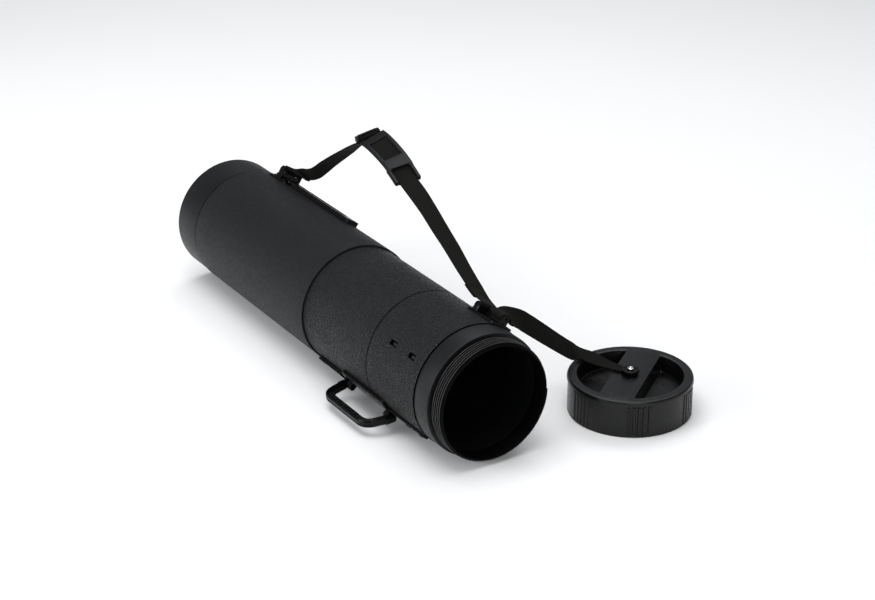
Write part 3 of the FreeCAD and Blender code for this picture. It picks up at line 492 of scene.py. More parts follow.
def bar(form, start, axis, length, radius, edge=0.5):
    """Round bar with softened ends."""
    profile = fillet([(0, 0.001), (0, radius), (length, radius), (length, 0.001)],
                     [0, edge, edge, 0], closed=False)
    form.turned(profile, start, axis, 28)


# ---------------------------------------------------------------- rear section

def end_cap():
    """Cup with a shallow ring in its flat end, and a plug that sits inside the rear tube."""
    profile = fillet(
        [(0, 0.01), (0, 51), (0.6, 51.6), (0.6, 53.4), (0, 54), (0, CAP_R), (CAP_END, CAP_R),
         (CAP_END, 60.3), (58, 60.3), (58, 58.6), (2.4, 58.6), (2.4, 0.01)],
        [0, 0.3, 0.3, 0.3, 0.3, 1.6, 0.5, 0.2, 0.3, 0.3, 1.0, 0])
    form = Form().turned(profile, segments=224)
    form.finish("cap_piece", REAR, ["end_cap"], SATIN)


def tube(name, body, node, finish, start, end, inner, outer, edge):
    """Plain sleeve with softened ends, in eight lengths."""
    outline = fillet([(start, inner), (start, outer), (end, outer), (end, inner)],
                     [0.2, edge, edge, 0.2])
    profile = []
    for i, point in enumerate(outline):
        profile.append(point)
        following = outline[(i + 1) % len(outline)]
        if abs(following[0] - point[0]) > 20:
            profile += between(point, following, 8)
    form = Form().turned(profile, segments=224)
    return form.finish(name, body, [node], finish)


def strap_rail():
    """Channel rail: two long lips with stepped side walls, a floor and two end blocks."""
    place = wrapped(STRAP_ANGLE, REAR_R)
    start, end, floor, top = 84.4, 206.0, 2.0, 4.8
    half = REAR_R * radians(6.5)
    groove = REAR_R * radians(3.7)
    form = Form()
    form.plate(rectangle(start, end, -half, half, 1.5), 0.0, floor, place, 0.3, 2.4)
    for sign in (-1, 1):
        form.plate(strip(91.0, 195.0, sign, groove, half - 0.25, 0.4), 1.6, top, place, 0.45, 6.0)
        for k in range(17):
            x = 94.0 + k * 6.2
            form.plate(strip(x, x + 3.6, sign, half - 1.05, half - 0.15, 0.2), 1.6, 4.1, place,
                       0.2, 0)
    for x0, x1 in ((start, start + 8.2), (end - 12.6, end)):
        form.plate(rectangle(x0, x1, -half, half, 1.6), 1.6, top, place, 0.7, 2.4)
    for k in range(31):
        x = 95.0 + k * 3.2
        form.plate(rectangle(x, x + 1.1, -groove + 0.5, groove - 0.5, 0.2), 1.8, 2.5, place,
                   0.2, 2.4)
    form.finish("rail_piece", REAR, ["strap_rail"], TRIM)
    heads = Form()
    for x in (100.0, 128.0, 158.0, 186.0):
        dome(heads, on_tube(x, REAR_R + floor + 0.1, STRAP_ANGLE), outward(STRAP_ANGLE), 3.1, 1.2)
    heads.finish("rail_rivet_heads", REAR, ["strap_rail_rivets"], BLACK_STEEL)


def eared_bracket(form, start, end, bar_x, bar_out, tube_r):
    """Curved foot and two ears with rounded heads round the cross bar."""
    place = wrapped(STRAP_ANGLE, tube_r)
    base = 1.9
    half = tube_r * radians(11.9)
    form.plate(rectangle(start, end, -half, half, 3.0), 0.0, base, place, 0.5, 2.4)
    foot = sqrt((tube_r + base) ** 2 - EAR_OUTSIDE ** 2) - 1.2
    level = bar_out - 0.5
    ear = [(-4.0, foot), (4.0, foot), (4.0, level)] + arch(3.8, 3.0, level, 8) + [(-4.0, level)]
    for side in (-EAR_OUTSIDE, EAR_INSIDE):
        def lay(a, b, h, side=side):
            return on_tube(bar_x + a, b, STRAP_ANGLE, side + h)
        form.plate(fillet(ear, 0.4), 0.0, EAR_THICK, lay, 0.4, 0, under=True)
    return place


def cross_bar(form, x, out):
    bar(form, on_tube(x, out, STRAP_ANGLE, -EAR_OUTSIDE), sideways(STRAP_ANGLE),
        2 * EAR_OUTSIDE, BAR_R)


def rear_bracket():
    """Bracket on a riser, with a saddle under the fold of the strap."""
    form = Form()
    place = eared_bracket(form, 50.0, 84.0, REAR_BAR_X, REAR_BAR_OUT, REAR_R)
    half = REAR_R * radians(7.0)
    form.plate(rectangle(54.0, 84.0, -half, half, 2.0), 1.0, 5.0, place, 0.9, 2.4)
    for sign in (-1, 1):
        form.plate(strip(57.0, 80.0, sign, half + 1.0, half + 3.4, 0.8), 1.6, 3.4, place, 0.5, 3.0)
    saddle = REAR_R * radians(9.6)
    form.plate(rectangle(65.0, 71.0, -saddle, saddle, 0.5), 1.0, 9.2, place, 0.5, 2.4)
    form.finish("rear_bracket_piece", REAR, ["rear_strap_bracket"], TRIM)
    rod = Form()
    cross_bar(rod, REAR_BAR_X, REAR_BAR_OUT)
    rod.finish("rear_bar_piece", REAR, ["rear_strap_bar"], BLACK_STEEL)


def seam_shadow(name, body, slot, profiles):
    """Black rings down in the joints between the tubes."""
    form = Form()
    for profile in profiles:
        form.turned(profile, segments=180)
    form.finish(name, body, [], PAINTED_SHADE, slot=slot)


# ---------------------------------------------------------------- front section

def neck():
    """Smooth band and spigot, and the chamfered mouth with its right-hand screw thread."""
    band_end, start, first, turns = 504.9, 505.6, 506.0, 5.6

    def radius(a, r, turn):
        if not start <= a <= 522.7 or r < THREAD_ROOT - 0.1:
            return r
        along = (a - first) / THREAD_PITCH - turn / (2 * pi)
        if along < -0.2 or along > turns:
            return r
        rise = min(1.0, max(0.0, 1.25 - abs(along % 1.0 - 0.5) * 4.2))
        fade = min(1.0, max(0.0, (along + 0.2) * 3), max(0.0, (turns - along) * 3))
        return THREAD_ROOT + (THREAD_CREST - THREAD_ROOT) * rise * fade

    spigot = 56.4
    band = fillet(
        [(460.5, ROLL_R), (460.5, spigot), (482.6, spigot), (482.6, BAND_R), (band_end, BAND_R),
         (band_end + 0.4, 55.4), (band_end + 0.4, ROLL_R)], [0.3, 0, 0, 0.5, 0.9, 0, 0])
    form = Form().turned(band, segments=224)
    form.finish("neck_piece", FRONT, ["threaded_neck"], SATIN, 50)

    profile = [(505.0, ROLL_R), (505.0, THREAD_ROOT)]
    profile += [(start + k * 0.2, THREAD_ROOT) for k in range(86)]
    profile += fillet([(MOUTH - 0.6, THREAD_ROOT), (MOUTH, THREAD_ROOT - 0.4), (MOUTH, 55.0),
                       (MOUTH - 0.5, ROLL_R)], 0.2, closed=False)
    form = Form().turned(profile, segments=240, radius=radius)
    form.finish("neck_thread", FRONT, [], THREAD, 60)


def collar():
    """Front sleeve with two snap windows, each a square with two slits towards the mouth."""
    sleeve = tube("collar_piece", FRONT, "latch_collar", COARSE,
                  COLLAR_START, COLLAR_END, SLIDE_R, FRONT_R, 0.35)
    place = wrapped(radians(145.3), FRONT_R)
    windows, low, high = (425.5, 457.5), -4.0, 1.0
    cutter = Form()
    for x in windows:
        cutter.plate(rectangle(x, x + 5.4, -2.7, 2.7, 0.4), low, high, place, 0.1, 0)
        for y in (-2.7, 1.4):
            slit = rectangle(x + 5.0, x + 11.0, y, y + 1.3, 0.3)
            cutter.plate(slit, low, high, place, 0.1, 0)
    tool = cutter.thing("window_cutter")
    modifier = sleeve.modifiers.new("windows", "BOOLEAN")
    modifier.operation = "DIFFERENCE"
    modifier.solver = "EXACT"
    modifier.use_self = True
    modifier.object = tool
    bpy.context.view_layer.update()
    shaped = sleeve.evaluated_get(bpy.context.evaluated_depsgraph_get())
    sleeve.data = bpy.data.meshes.new_from_object(shaped)
    sleeve.modifiers.clear()
    bpy.data.objects.remove(tool)
    # black plates under the windows: painted shade
    floor = Form()
    for x in windows:
        floor.plate(rectangle(x - 0.4, x + 11.5, -3.2, 3.2, 0.4), -1.1, -0.55, place, 0.1, 2.4)
    floor.finish("window_floors", FRONT, [], PAINTED_SHADE, slot="coarse_grain_shell")


def front_bracket():
    """Bracket with the strap's cross bar, two posts for the tether's bar, and saddles."""
    form = Form()
    place = eared_bracket(form, 440.0, 482.4, FRONT_BAR_X, FRONT_BAR_OUT, FRONT_R)
    foot, level = FRONT_R + 0.9, FRONT_BAR_OUT - 0.3
    post = [(-4.0, foot), (4.0, foot), (3.9, level)] + arch(3.6, 2.8, level - 0.1, 8)
    post.append((-3.9, level))
    for x in (TETHER_BAR_X, TETHER_BAR_X + TETHER_BAR_LENGTH - EAR_THICK):
        def lay(a, b, h, x=x):
            return on_tube(x + h, b, STRAP_ANGLE, a)
        form.plate(fillet(post, 0.4), 0.0, EAR_THICK, lay, 0.4, 0, under=True)
    saddle = FRONT_R * radians(9.6)
    for x0, x1, half in ((448.6, 455.4, saddle), (455.0, 480.8, 3.8)):
        form.plate(rectangle(x0, x1, -half, half, 0.5), 1.0, 4.4, place, 0.4, 2.4)
    form.finish("front_bracket_piece", FRONT, ["front_strap_bracket"], TRIM)
    rods = Form()
    cross_bar(rods, FRONT_BAR_X, FRONT_BAR_OUT)
    bar(rods, on_tube(TETHER_BAR_X, FRONT_BAR_OUT, STRAP_ANGLE), AXIS_X, TETHER_BAR_LENGTH, BAR_R)
    rods.finish("front_bars", FRONT, ["front_strap_bar", "tether_bar"], BLACK_STEEL)
    heads = Form()
    for side in (-6.5, 6.5):
        dome(heads, on_tube(444.6, FRONT_R + 1.6, STRAP_ANGLE, side), outward(STRAP_ANGLE),
             3.1, 1.3)
    heads.finish("bracket_rivet_heads", FRONT, ["bracket_rivets"], BLACK_STEEL)


def handle_rail():
    """Long rail with raised lips round its rear end and two low ribs at its front end."""
    place = wrapped(HANDLE_ANGLE, FRONT_R)
    half = FRONT_R * radians(6.5)
    groove = FRONT_R * radians(3.7)
    start, end, lips_end, floor, top = 288.0, 474.0, 331.0, 2.4, 4.3
    rail = Form()
    rail.plate(rectangle(start, end, -half, half, 3.5), 0.0, floor, place, 0.6, 2.4)
    for sign in (-1, 1):
        rail.plate(strip(start, lips_end, sign, groove, half - 0.05, 0.8), 2.0, top, place, 0.5,
                   4.0)
        rail.plate(strip(431, 471, sign, half - 1.9, half - 1.0, 0.3), 2.0, 2.75, place, 0.25, 6.0)
    for x in (start, lips_end - 4.0):
        rail.plate(rectangle(x, x + 4.0, -half + 0.1, half - 0.1, 0.9), 2.0, top, place, 0.6, 2.4)
    rail.finish("handle_rail_piece", FRONT, ["handle_rail"], TRIM)
    heads = Form()
    for x in (298.0, 318.0, 448.0, 470.0):
        dome(heads, on_tube(x, FRONT_R + floor, HANDLE_ANGLE), outward(HANDLE_ANGLE), 3.1, 1.1)
    heads.finish("handle_rivet_heads", FRONT, ["handle_rivets"], BLACK_STEEL)


def handle_plate():
    """Curved plate with edge ribs, cross ribs and an eye at each end, and the two pins."""
    place = wrapped(HANDLE_ANGLE, FRONT_R)
    half = FRONT_R * radians(17.0)
    start, end, eye_length, eye_r = 342.7, 418.3, 7.0, 3.4
    rib_low, rib_high = 3.0, 3.8
    plate = Form()
    plate.plate(rectangle(start, end, -half, half, 3.5), 0.0, 3.4, place, 0.7, 2.4)
    for sign in (-1, 1):
        plate.plate(strip(346, 415, sign, half - 2.6, half - 1.7, 0.4), rib_low, rib_high, place,
                    0.3, 6.0)
    for k in range(6):
        x = 355.0 + k * 9.0
        plate.plate(rectangle(x, x + 1.2, 4.5, half - 4.0, 0.4), rib_low, rib_high, place, 0.3, 2.4)
    foot = FRONT_R + 2.2
    eye = [(-eye_r, foot), (eye_r, foot), (eye_r, HINGE_OUT)]
    eye += arch(eye_r, eye_r, HINGE_OUT, 12, 1) + [(-eye_r, HINGE_OUT)]
    for x0 in (start, end - eye_length):
        def lay(a, b, h, x0=x0):
            return on_tube(x0 + h, b, HANDLE_ANGLE, a)
        plate.plate(eye, 0.0, eye_length, lay, 0.5, 0, under=True)
    plate.finish("handle_plate_piece", FRONT, ["handle_plate"], TRIM)
    pins = Form()
    for x0 in (334.0, end - eye_length):
        bar(pins, on_tube(x0, HINGE_OUT, HANDLE_ANGLE), AXIS_X, 15.7, 1.6, 0.4)
    pins.finish("handle_pin_pieces", FRONT, ["handle_pins"], BLACK_STEEL)


def handle_section():
    """The grip cut across: round corners, with extra points on its two wide sides."""
    outline = fillet([(-3.8, -3.3), (3.8, -3.3), (3.8, 3.3), (-3.8, 3.3)], 1.5, steps=3)
    section = []
    for i, point in enumerate(outline):
        section.append(point)
        following = outline[(i + 1) % len(outline)]
        if (Vector(following) - Vector(point)).length > 3.0:
            section += between(point, following, 12)
    return section


def ridged(a, b):
    """Grooves along the wide sides of the grip, and a hollow along its narrow sides."""
    if abs(b) > 3.2 and abs(a) < 2.6:
        b *= 1.0 - 0.22 * (0.5 - 0.5 * cos(2 * pi * a / 1.7))
    if abs(a) > 3.7 and abs(b) < 1.5:
        a *= 0.90 if abs(b) < 0.9 else 0.96
    return a, b


def handle():
    """Bail with a ridged grip: two leaning arms, round corners, eyes on the hinge pins."""
    hinge = on_tube(HINGE_X, HINGE_OUT, HANDLE_ANGLE)
    reach_dir = outward(radians(185.0))
    face_dir = AXIS_X.cross(reach_dir)
    root, grip, reach, start = 42.3, 36.2, 25.8, 4.2
    foot = Vector((-root, 0)) + Vector((root - grip, reach)).normalized() * start
    corners = [tuple(foot), (-grip, reach), (grip, reach), (-foot.x, foot.y)]
    corners = fillet(corners, [0, 16.0, 16.0, 0], closed=False, steps=10)
    path = []
    for a, b in zip(corners, corners[1:]):
        pieces = max(1, int((Vector(b) - Vector(a)).length / 1.2))
        path += [tuple(Vector(a).lerp(Vector(b), k / pieces)) for k in range(pieces)]
    path.append(corners[-1])
    section = handle_section()
    rings = []
    for i, point in enumerate(path):
        ahead = Vector(path[min(i + 1, len(path) - 1)]) - Vector(path[max(i - 1, 0)])
        ahead.normalize()
        side = Vector((ahead.y, -ahead.x))
        ring = []
        for across, out in section:
            a, b = ridged(across, out)
            at = Vector(point) + side * a
            ring.append(hinge + AXIS_X * at.x + reach_dir * at.y + face_dir * b)
        rings.append(ring)
    form = Form().rings(rings)
    eye = [(-3.2, 0)] + arch(3.2, 3.2, 0, 12, 1, pi) + [(3.2, 0), (3.0, 8.2), (-3.0, 8.2)]
    for low_x in (-46.5, 38.1):
        def lay(a, b, h, low_x=low_x):
            return hinge + AXIS_X * (low_x + h) + reach_dir * b + face_dir * a
        form.plate(eye, 0.3, 8.1, lay, 1.3, 0, under=True)
    form.finish("handle_piece", "handle", ["carry_handle"], TRIM, 42)


# ---------------------------------------------------------------- webbing

# Routes of the webbing: the middle of the band, and the direction across it.
REAR_RUN = [
    ((86.0, 42.6, 65.6), (0.13, 0.72, -0.68)), ((99.0, 43.9, 69.3), (0.15, 0.66, -0.74)),
    ((109.5, 45.5, 73.4), (0.14, 0.78, -0.60)), ((118.0, 48.0, 79.2), (0.06, 0.90, -0.44)),
    ((129.5, 52.4, 89.6), (0.00, 0.92, -0.38)), ((142.0, 56.4, 99.6), (-0.05, 0.95, -0.32)),
    ((154.0, 60.4, 109.0), (-0.04, 0.97, -0.18)), ((164.0, 64.2, 117.4), (0.04, 0.98, 0.06)),
    ((172.0, 67.8, 123.4), (0.10, 0.96, 0.18)), ((179.5, 70.3, 128.5), (0.14, 0.95, 0.24)),
    ((187.0, 70.6, 130.9), (0.13, 0.92, 0.37)),
]
PAD_RUN = [
    ((188.5, 70.6, 133.2), (0.13, 0.92, 0.37)), ((200.0, 70.1, 132.6), (0.14, 0.92, 0.36)),
    ((213.0, 69.3, 130.8), (0.14, 0.93, 0.34)), ((226.0, 68.3, 128.5), (0.15, 0.94, 0.30)),
    ((240.0, 67.1, 125.3), (0.15, 0.96, 0.24)), ((256.0, 65.2, 121.0), (0.15, 0.97, 0.17)),
    ((271.0, 63.3, 116.3), (0.15, 0.98, 0.13)),
]
FRONT_RUN = [
    ((291.3, 60.8, 110.1), (0.16, 0.98, 0.11)), ((319.6, 57.2, 101.5), (0.11, 0.99, -0.07)),
    ((345.7, 53.5, 92.5), (0.09, 0.98, -0.15)), ((371.9, 49.9, 83.8), (0.06, 0.97, -0.24)),
    ((395.5, 46.3, 75.1), (0.03, 0.95, -0.32)), ((420.0, 42.9, 66.8), (0.01, 0.92, -0.38)),
    ((438.0, 40.8, 61.2), (0.00, 0.87, -0.48)),
]
TETHER_RUN = [
    ((469.8, 44.4, 56.6), (-0.96, -0.05, 0.24)), ((466.8, 51.6, 51.6), (-0.72, 0.21, 0.67)),
    ((463.5, 65.6, 42.6), (-0.35, 0.48, 0.80)), ((461.5, 73.8, 36.1), (-0.26, 0.57, 0.78)),
    ((457.6, 90.0, 22.7), (-0.32, 0.56, 0.77)), ((453.8, 106.2, 9.3), (-0.42, 0.52, 0.75)),
    ((450.0, 122.1, -3.8), (-0.50, 0.47, 0.73)), ((446.9, 137.0, -15.4), (-0.58, 0.50, 0.64)),
    ((448.4, 146.6, -20.2), (-0.78, 0.58, 0.16)), ((455.0, 152.4, -22.6), (-0.36, 0.93, 0.05)),
]


def stations_of(run):
    """Points of a route, each with the direction across made square to the route."""
    points = [Vector(point) for point, across in run]
    last = len(points) - 1
    stations = []
    for i, (point, across) in enumerate(run):
        ahead = (points[min(i + 1, last)] - points[max(i - 1, 0)]).normalized()
        side = Vector(across)
        side = (side - ahead * side.dot(ahead)).normalized()
        stations.append((points[i], side))
    return stations


def smooth(stations, step=1.5):
    """Catmull-Rom through stations: (centre, side, facing, distance run) every few mm."""
    def spline(values, i, t):
        last = len(values) - 1
        p0, p1 = values[max(i - 1, 0)], values[i]
        p2, p3 = values[min(i + 1, last)], values[min(i + 2, last)]
        return 0.5 * (2 * p1 + (p2 - p0) * t + (2 * p0 - 5 * p1 + 4 * p2 - p3) * t * t
                      + (3 * p1 - p0 - 3 * p2 + p3) * t ** 3)
    points, sides = [s[0] for s in stations], [s[1] for s in stations]
    samples = []
    for i in range(len(stations) - 1):
        count = max(2, int((points[i + 1] - points[i]).length / step))
        for k in range(count):
            t = k / count
            samples.append((spline(points, i, t), spline(sides, i, t)))
    samples.append((points[-1], sides[-1]))
    result, run = [], 0.0
    for i, (point, side) in enumerate(samples):
        ahead = samples[min(i + 1, len(samples) - 1)][0] - samples[max(i - 1, 0)][0]
        ahead.normalize()
        side = (side - ahead * side.dot(ahead)).normalized()
        if i:
            run += (point - samples[i - 1][0]).length
        result.append((point, side, ahead.cross(side).normalized(), run))
    return result


def strap_section(width, thick):
    """Webbing cut across: slightly thicker selvedges with round edges."""
    half = width / 2
    top = [(half - 0.05, 0.15), (half - 0.35, 0.46)]
    top += [(half * (1 - 2 * k / 14) * 0.96, 0.5 if k in (0, 1, 13, 14) else 0.44)
            for k in range(15)]
    top += [(-half + 0.35, 0.46), (-half + 0.05, 0.15)]
    bottom = [(-a, -b) for a, b in top]
    return [(a, b * thick) for a, b in top + bottom]


def add_ribbon(form, frames, widths, thick):
    """Webbing along frames; widths is one width or one for each frame."""
    if not isinstance(widths, list):
        widths = [widths] * len(frames)
    rings, marks = [], []
    for (point, side, facing, run), width in zip(frames, widths):
        section = strap_section(width, thick)
        rings.append([point + side * a + facing * b for a, b in section])
        marks += [(run, a) for a, b in section]
    form.rings(rings, marks)


def add_fold(form, centre, axis, width):
    """Webbing folded round a bar."""
    first = axis.orthogonal().normalized()
    second = axis.cross(first)
    frames = []
    for k in range(33):
        turn = 2 * pi * k / 32
        out = first * cos(turn) + second * sin(turn)
        frames.append((centre + out * FOLD_R, axis, out, FOLD_R * turn))
    add_ribbon(form, frames, width, STRAP_THICK)


def lowered(frames, depth, start, end):
    """Part of the frames between two runs, moved in from the webbing's face."""
    return [(p - f * depth, s, f, run) for p, s, f, run in frames if start < run < end]


def add_stitches(form, frames, width, rows):
    """Rows of thread stitches across the webbing, standing just proud; rows are runs in mm."""
    spacing = 2.2
    profile = [(-0.8, 0.02), (-0.6, 0.24), (0, 0.3), (0.6, 0.24), (0.8, 0.02)]
    for row in rows:
        point, side, facing, run = min(frames, key=lambda f: abs(f[3] - row))
        count = int((width - 3) / spacing)
        for k in range(count):
            across = (k - (count - 1) / 2) * spacing
            at = point + side * across + facing * (STRAP_THICK * 0.45)
            form.turned(profile, at, side, 8)


def rear_strap():
    """Webbing from the rear bar to the buckle."""
    tangent = sideways(STRAP_ANGLE) * -1
    centre = on_tube(REAR_BAR_X, REAR_BAR_OUT, STRAP_ANGLE)
    top = centre + outward(STRAP_ANGLE) * FOLD_R
    form = Form()
    frames = smooth([(top, tangent)] + stations_of(REAR_RUN))
    add_ribbon(form, frames, STRAP_WIDTH, STRAP_THICK)
    add_fold(form, centre, tangent, STRAP_WIDTH)
    add_ribbon(form, lowered(frames, 1.7, 3.0, 27.0), STRAP_WIDTH - 0.6, STRAP_THICK)
    add_stitches(form, frames, STRAP_WIDTH, (8.0, 11.0, 20.0, 23.0))
    piece = form.finish("strap_rear_piece", None, ["shoulder_strap_rear"], WEBBING)
    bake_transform(piece)


def front_strap(pad):
    """Webbing under the pad and on to the front bar, and the part that the window shows."""
    tangent = sideways(STRAP_ANGLE) * -1
    centre = on_tube(FRONT_BAR_X, FRONT_BAR_OUT, STRAP_ANGLE)
    top = centre + outward(STRAP_ANGLE) * FOLD_R
    beneath = [(p - f * PAD_SINK, s) for p, s, f, run in pad[::6]]
    form = Form()
    frames = smooth(beneath + stations_of(FRONT_RUN) + [(top, tangent)])
    add_ribbon(form, frames, STRAP_WIDTH, STRAP_THICK)
    add_fold(form, centre, tangent, STRAP_WIDTH)
    total = frames[-1][3]
    add_ribbon(form, lowered(pad, 0.9, 9.0, 50.0), 18.8, 1.4)
    add_ribbon(form, lowered(frames, 1.7, total - 34.0, total - 12.0), STRAP_WIDTH - 0.6,
               STRAP_THICK)
    add_stitches(form, frames, STRAP_WIDTH, [total - back for back in (33.0, 30.0, 19.0, 16.0)])
    form.finish("strap_front_piece", FRONT, ["shoulder_strap_front"], WEBBING)


def shoulder_pad(frames):
    """Moulded pad frame: side rails, a band at the buckle end, a crossbar and a curled lip."""
    total = frames[-1][3]

    def place(u, v, h):
        reach = max(0.0, min(total, u))
        i = 0
        while i < len(frames) - 2 and frames[i + 1][3] < reach:
            i += 1
        a, b = frames[i], frames[i + 1]
        t = (reach - a[3]) / max(1e-6, b[3] - a[3])
        point, side, facing = a[0].lerp(b[0], t), a[1].lerp(b[1], t), a[2].lerp(b[2], t)
        return point + side * v + facing * h

    half, floor, top = 13.7, -1.6, 1.1
    window_end, lip = 46.0, 63.5
    form = Form()
    form.plate(rectangle(1.0, 64.0, -half + 0.6, half - 0.6, 2.0), floor, -1.15, place, 0.2, 3.0)
    form.plate(rectangle(56.0, total - 1.0, -half + 0.4, half - 0.4, 4.0), -4.4, -3.9, place, 0.2,
               3.0)
    for sign in (-1, 1):
        form.plate(strip(0.0, 66.0, sign, half - 4.6, half, 1.6), floor, top, place, 0.8, 3.0,
                   under=True)
        form.plate(strip(60.0, total, sign, half - 3.8, half, 1.6), -4.2, 0.5, place, 1.1, 3.0,
                   under=True)
        form.plate(strip(1.0, 64.0, sign, half - 0.9, half - 0.1, 0.3), 0.6, 1.45, place, 0.3, 3.0)
    form.plate(rectangle(0.0, 11.0, -half + 1, half - 1, 1.5), -1.4, top + 0.05, place, 0.6, 3.0,
               under=True)
    form.plate(rectangle(0.8, 2.6, -half + 1.4, half - 1.4, 0.7), 0.9, 1.55, place, 0.35, 3.0)
    form.plate(rectangle(window_end, lip, -half + 1, half - 1, 2.0), -1.5, top + 0.1, place, 0.8,
               2.4, under=True)
    form.plate(rectangle(lip - 2.1, lip - 0.1, -half + 2.2, half - 2.2, 0.9), 0.9, 1.6, place,
               0.5, 2.4)
    form.finish("pad_piece", FRONT, ["shoulder_pad"], PAD)


def buckle():
    """Ribbed clamping roll between two cheeks, with a tongue under it."""
    middle = Vector((179.5, 70.5, 133.4))
    across = Vector((0.14, 0.95, 0.24)).normalized()
    ahead = Vector(PAD_RUN[0][0]) - middle
    ahead = (ahead - across * ahead.dot(across)).normalized()
    facing = ahead.cross(across)
    half, neck_r, rib_depth, ribs = 13.0, 2.4, 0.55, 16
    form = Form()

    def ribbed(a, r, turn):
        if r < 2.6 or abs(a) > 10.3:
            return r
        return r - rib_depth * (0.5 + 0.5 * cos(turn * ribs))
    profile = [(-half, 0.01), (-half, 2.0), (-12.6, neck_r), (-10.7, neck_r), (-10.5, 3.0)]
    profile += [(-10.2 + 20.4 * k / 12, 3.3) for k in range(13)]
    profile += [(10.5, 3.0), (10.7, neck_r), (12.6, neck_r), (half, 2.0), (half, 0.01)]
    form.turned(profile, middle, across, 132, ribbed)
    cheek = fillet([(-5.0, -5.0), (5.0, -5.0), (5.0, -0.4), (2.6, 2.4), (-2.6, 2.4),
                    (-4.4, -1.0)], [1.2, 1.2, 1.4, 1.8, 1.8, 1.2])
    for side in (-half, half - 2.2):
        def lay(a, b, h, side=side):
            return middle + ahead * a + facing * b + across * (side + h)
        form.plate(cheek, 0.0, 2.2, lay, 0.5, 0, under=True)

    def flat(a, b, h):
        return middle + ahead * a + across * b + facing * h
    form.plate(rectangle(1.5, 9.8, -10.7, 10.7, 0.5), -2.2, -0.8, flat, 0.3, 0, under=True)
    form.finish("buckle_piece", FRONT, ["strap_buckle"], TRIM)


def tapered(left):
    """Width of the tether at a distance from its end under the disc."""
    keys = [(0.0, 9.4), (13.5, 10.4), (23.0, 13.0), (34.0, 16.4), (46.0, TETHER_WIDTH)]
    for (a, width_a), (b, width_b) in zip(keys, keys[1:]):
        if left <= b:
            return width_a + (width_b - width_a) * (left - a) / (b - a)
    return TETHER_WIDTH


def tether():
    """Webbing from its bar to the lid, where it narrows and lies level under the disc."""
    bar_at = on_tube(TETHER_BAR_X + TETHER_BAR_LENGTH / 2, FRONT_BAR_OUT, STRAP_ANGLE)
    centre = Vector((LID_X, LID_Y, -24.3))
    form = Form()
    stations = [(bar_at + outward(STRAP_ANGLE) * FOLD_R, AXIS_X * -1)] + stations_of(TETHER_RUN)
    start = Vector(TETHER_RUN[-1][0])
    level = Vector((centre.x - start.x, centre.y - start.y, 0)).normalized()
    side = AXIS_Z.cross(level)
    stations += [(centre - level * back, side) for back in (30.0, 19.0, 9.5, -4.0)]
    frames = smooth(stations)
    total = frames[-1][3]
    widths = [tapered(total - run) for point, across, facing, run in frames]
    add_ribbon(form, frames, widths, STRAP_THICK)
    add_fold(form, bar_at, AXIS_X, TETHER_WIDTH)
    add_ribbon(form, lowered(frames, 1.6, 6.0, 24.0), TETHER_WIDTH - 0.6, 1.4)
    add_stitches(form, frames, TETHER_WIDTH, (9.0, 12.0, 20.0))
    form.finish("tether_piece", "tether", ["lid_tether"], WEBBING)


def swivel():
    """Disc that clamps the tether's end, and the bright rivet with its rolled eyelet."""
    disc = Form()
    profile = fillet([(0, 2.1), (0, 8.6), (3.0, 8.6), (3.0, 6.2), (2.3, 5.4), (2.3, 2.1)],
                     [0, 0.7, 1.0, 0.5, 0.3, 0])
    disc.turned(profile, (LID_X, LID_Y, -23.4), AXIS_Z, 72)
    disc.finish("disc_piece", "tether", ["swivel_disc"], TRIM)
    rivet = Form()
    bar(rivet, (LID_X, LID_Y, -28.4), AXIS_Z, 7.6, 2.0, 0.2)
    eyelet = [(-0.3, 0.9), (-0.3, 2.9), (0.5, 3.0), (1.1, 2.7), (1.35, 2.15), (1.2, 1.6),
              (0.6, 1.15)]
    rivet.turned(fillet(eyelet, 0.25), (LID_X, LID_Y, -20.5), AXIS_Z, 48)
    rivet.finish("rivet_piece", "tether", ["lid_rivet"], CHROME)


# ---------------------------------------------------------------- lid

def well_outline(radius, chord, ribs=0.0):
    """Half-moon between an arc and a straight side, local (along bar, across bar)."""
    points, corner = 120, 4.0
    reach = acos(chord / radius)
    arc = []
    for k in range(points + 1):
        turn = pi / 2 + reach - 2 * reach * k / points
        r = radius - (ribs if k % 2 and 3 < k < points - 3 else 0.0)
        arc.append((r * cos(turn), r * sin(turn)))
    half = arc[-1][0]
    flat = [(half - corner * 1.4, chord), (-half + corner * 1.4, chord)]
    keep = [p for p in arc if p[1] > chord + corner * 0.75]
    right = fillet([keep[-1], (half * 0.992, chord + 0.02), flat[0]], [0, corner, 0],
                   closed=False, steps=5)
    left = fillet([flat[1], (-half * 0.992, chord + 0.02), keep[0]], [0, corner, 0],
                  closed=False, steps=5)
    return keep[1:-1] + right + between(flat[0], flat[1], 12) + left


def lid_radius(radius, angle, relief):
    """Radius of the lid's wall: six groups of five narrow ribs stand out by the relief."""
    group, pitch, reach, half_rib = 60.0, 4.6, 11.6, 0.24
    offset = (degrees(angle) + 66.0) % group - group / 2
    index = offset / pitch
    if abs(offset) < reach and abs(index - round(index)) < half_rib:
        return radius + relief
    return radius


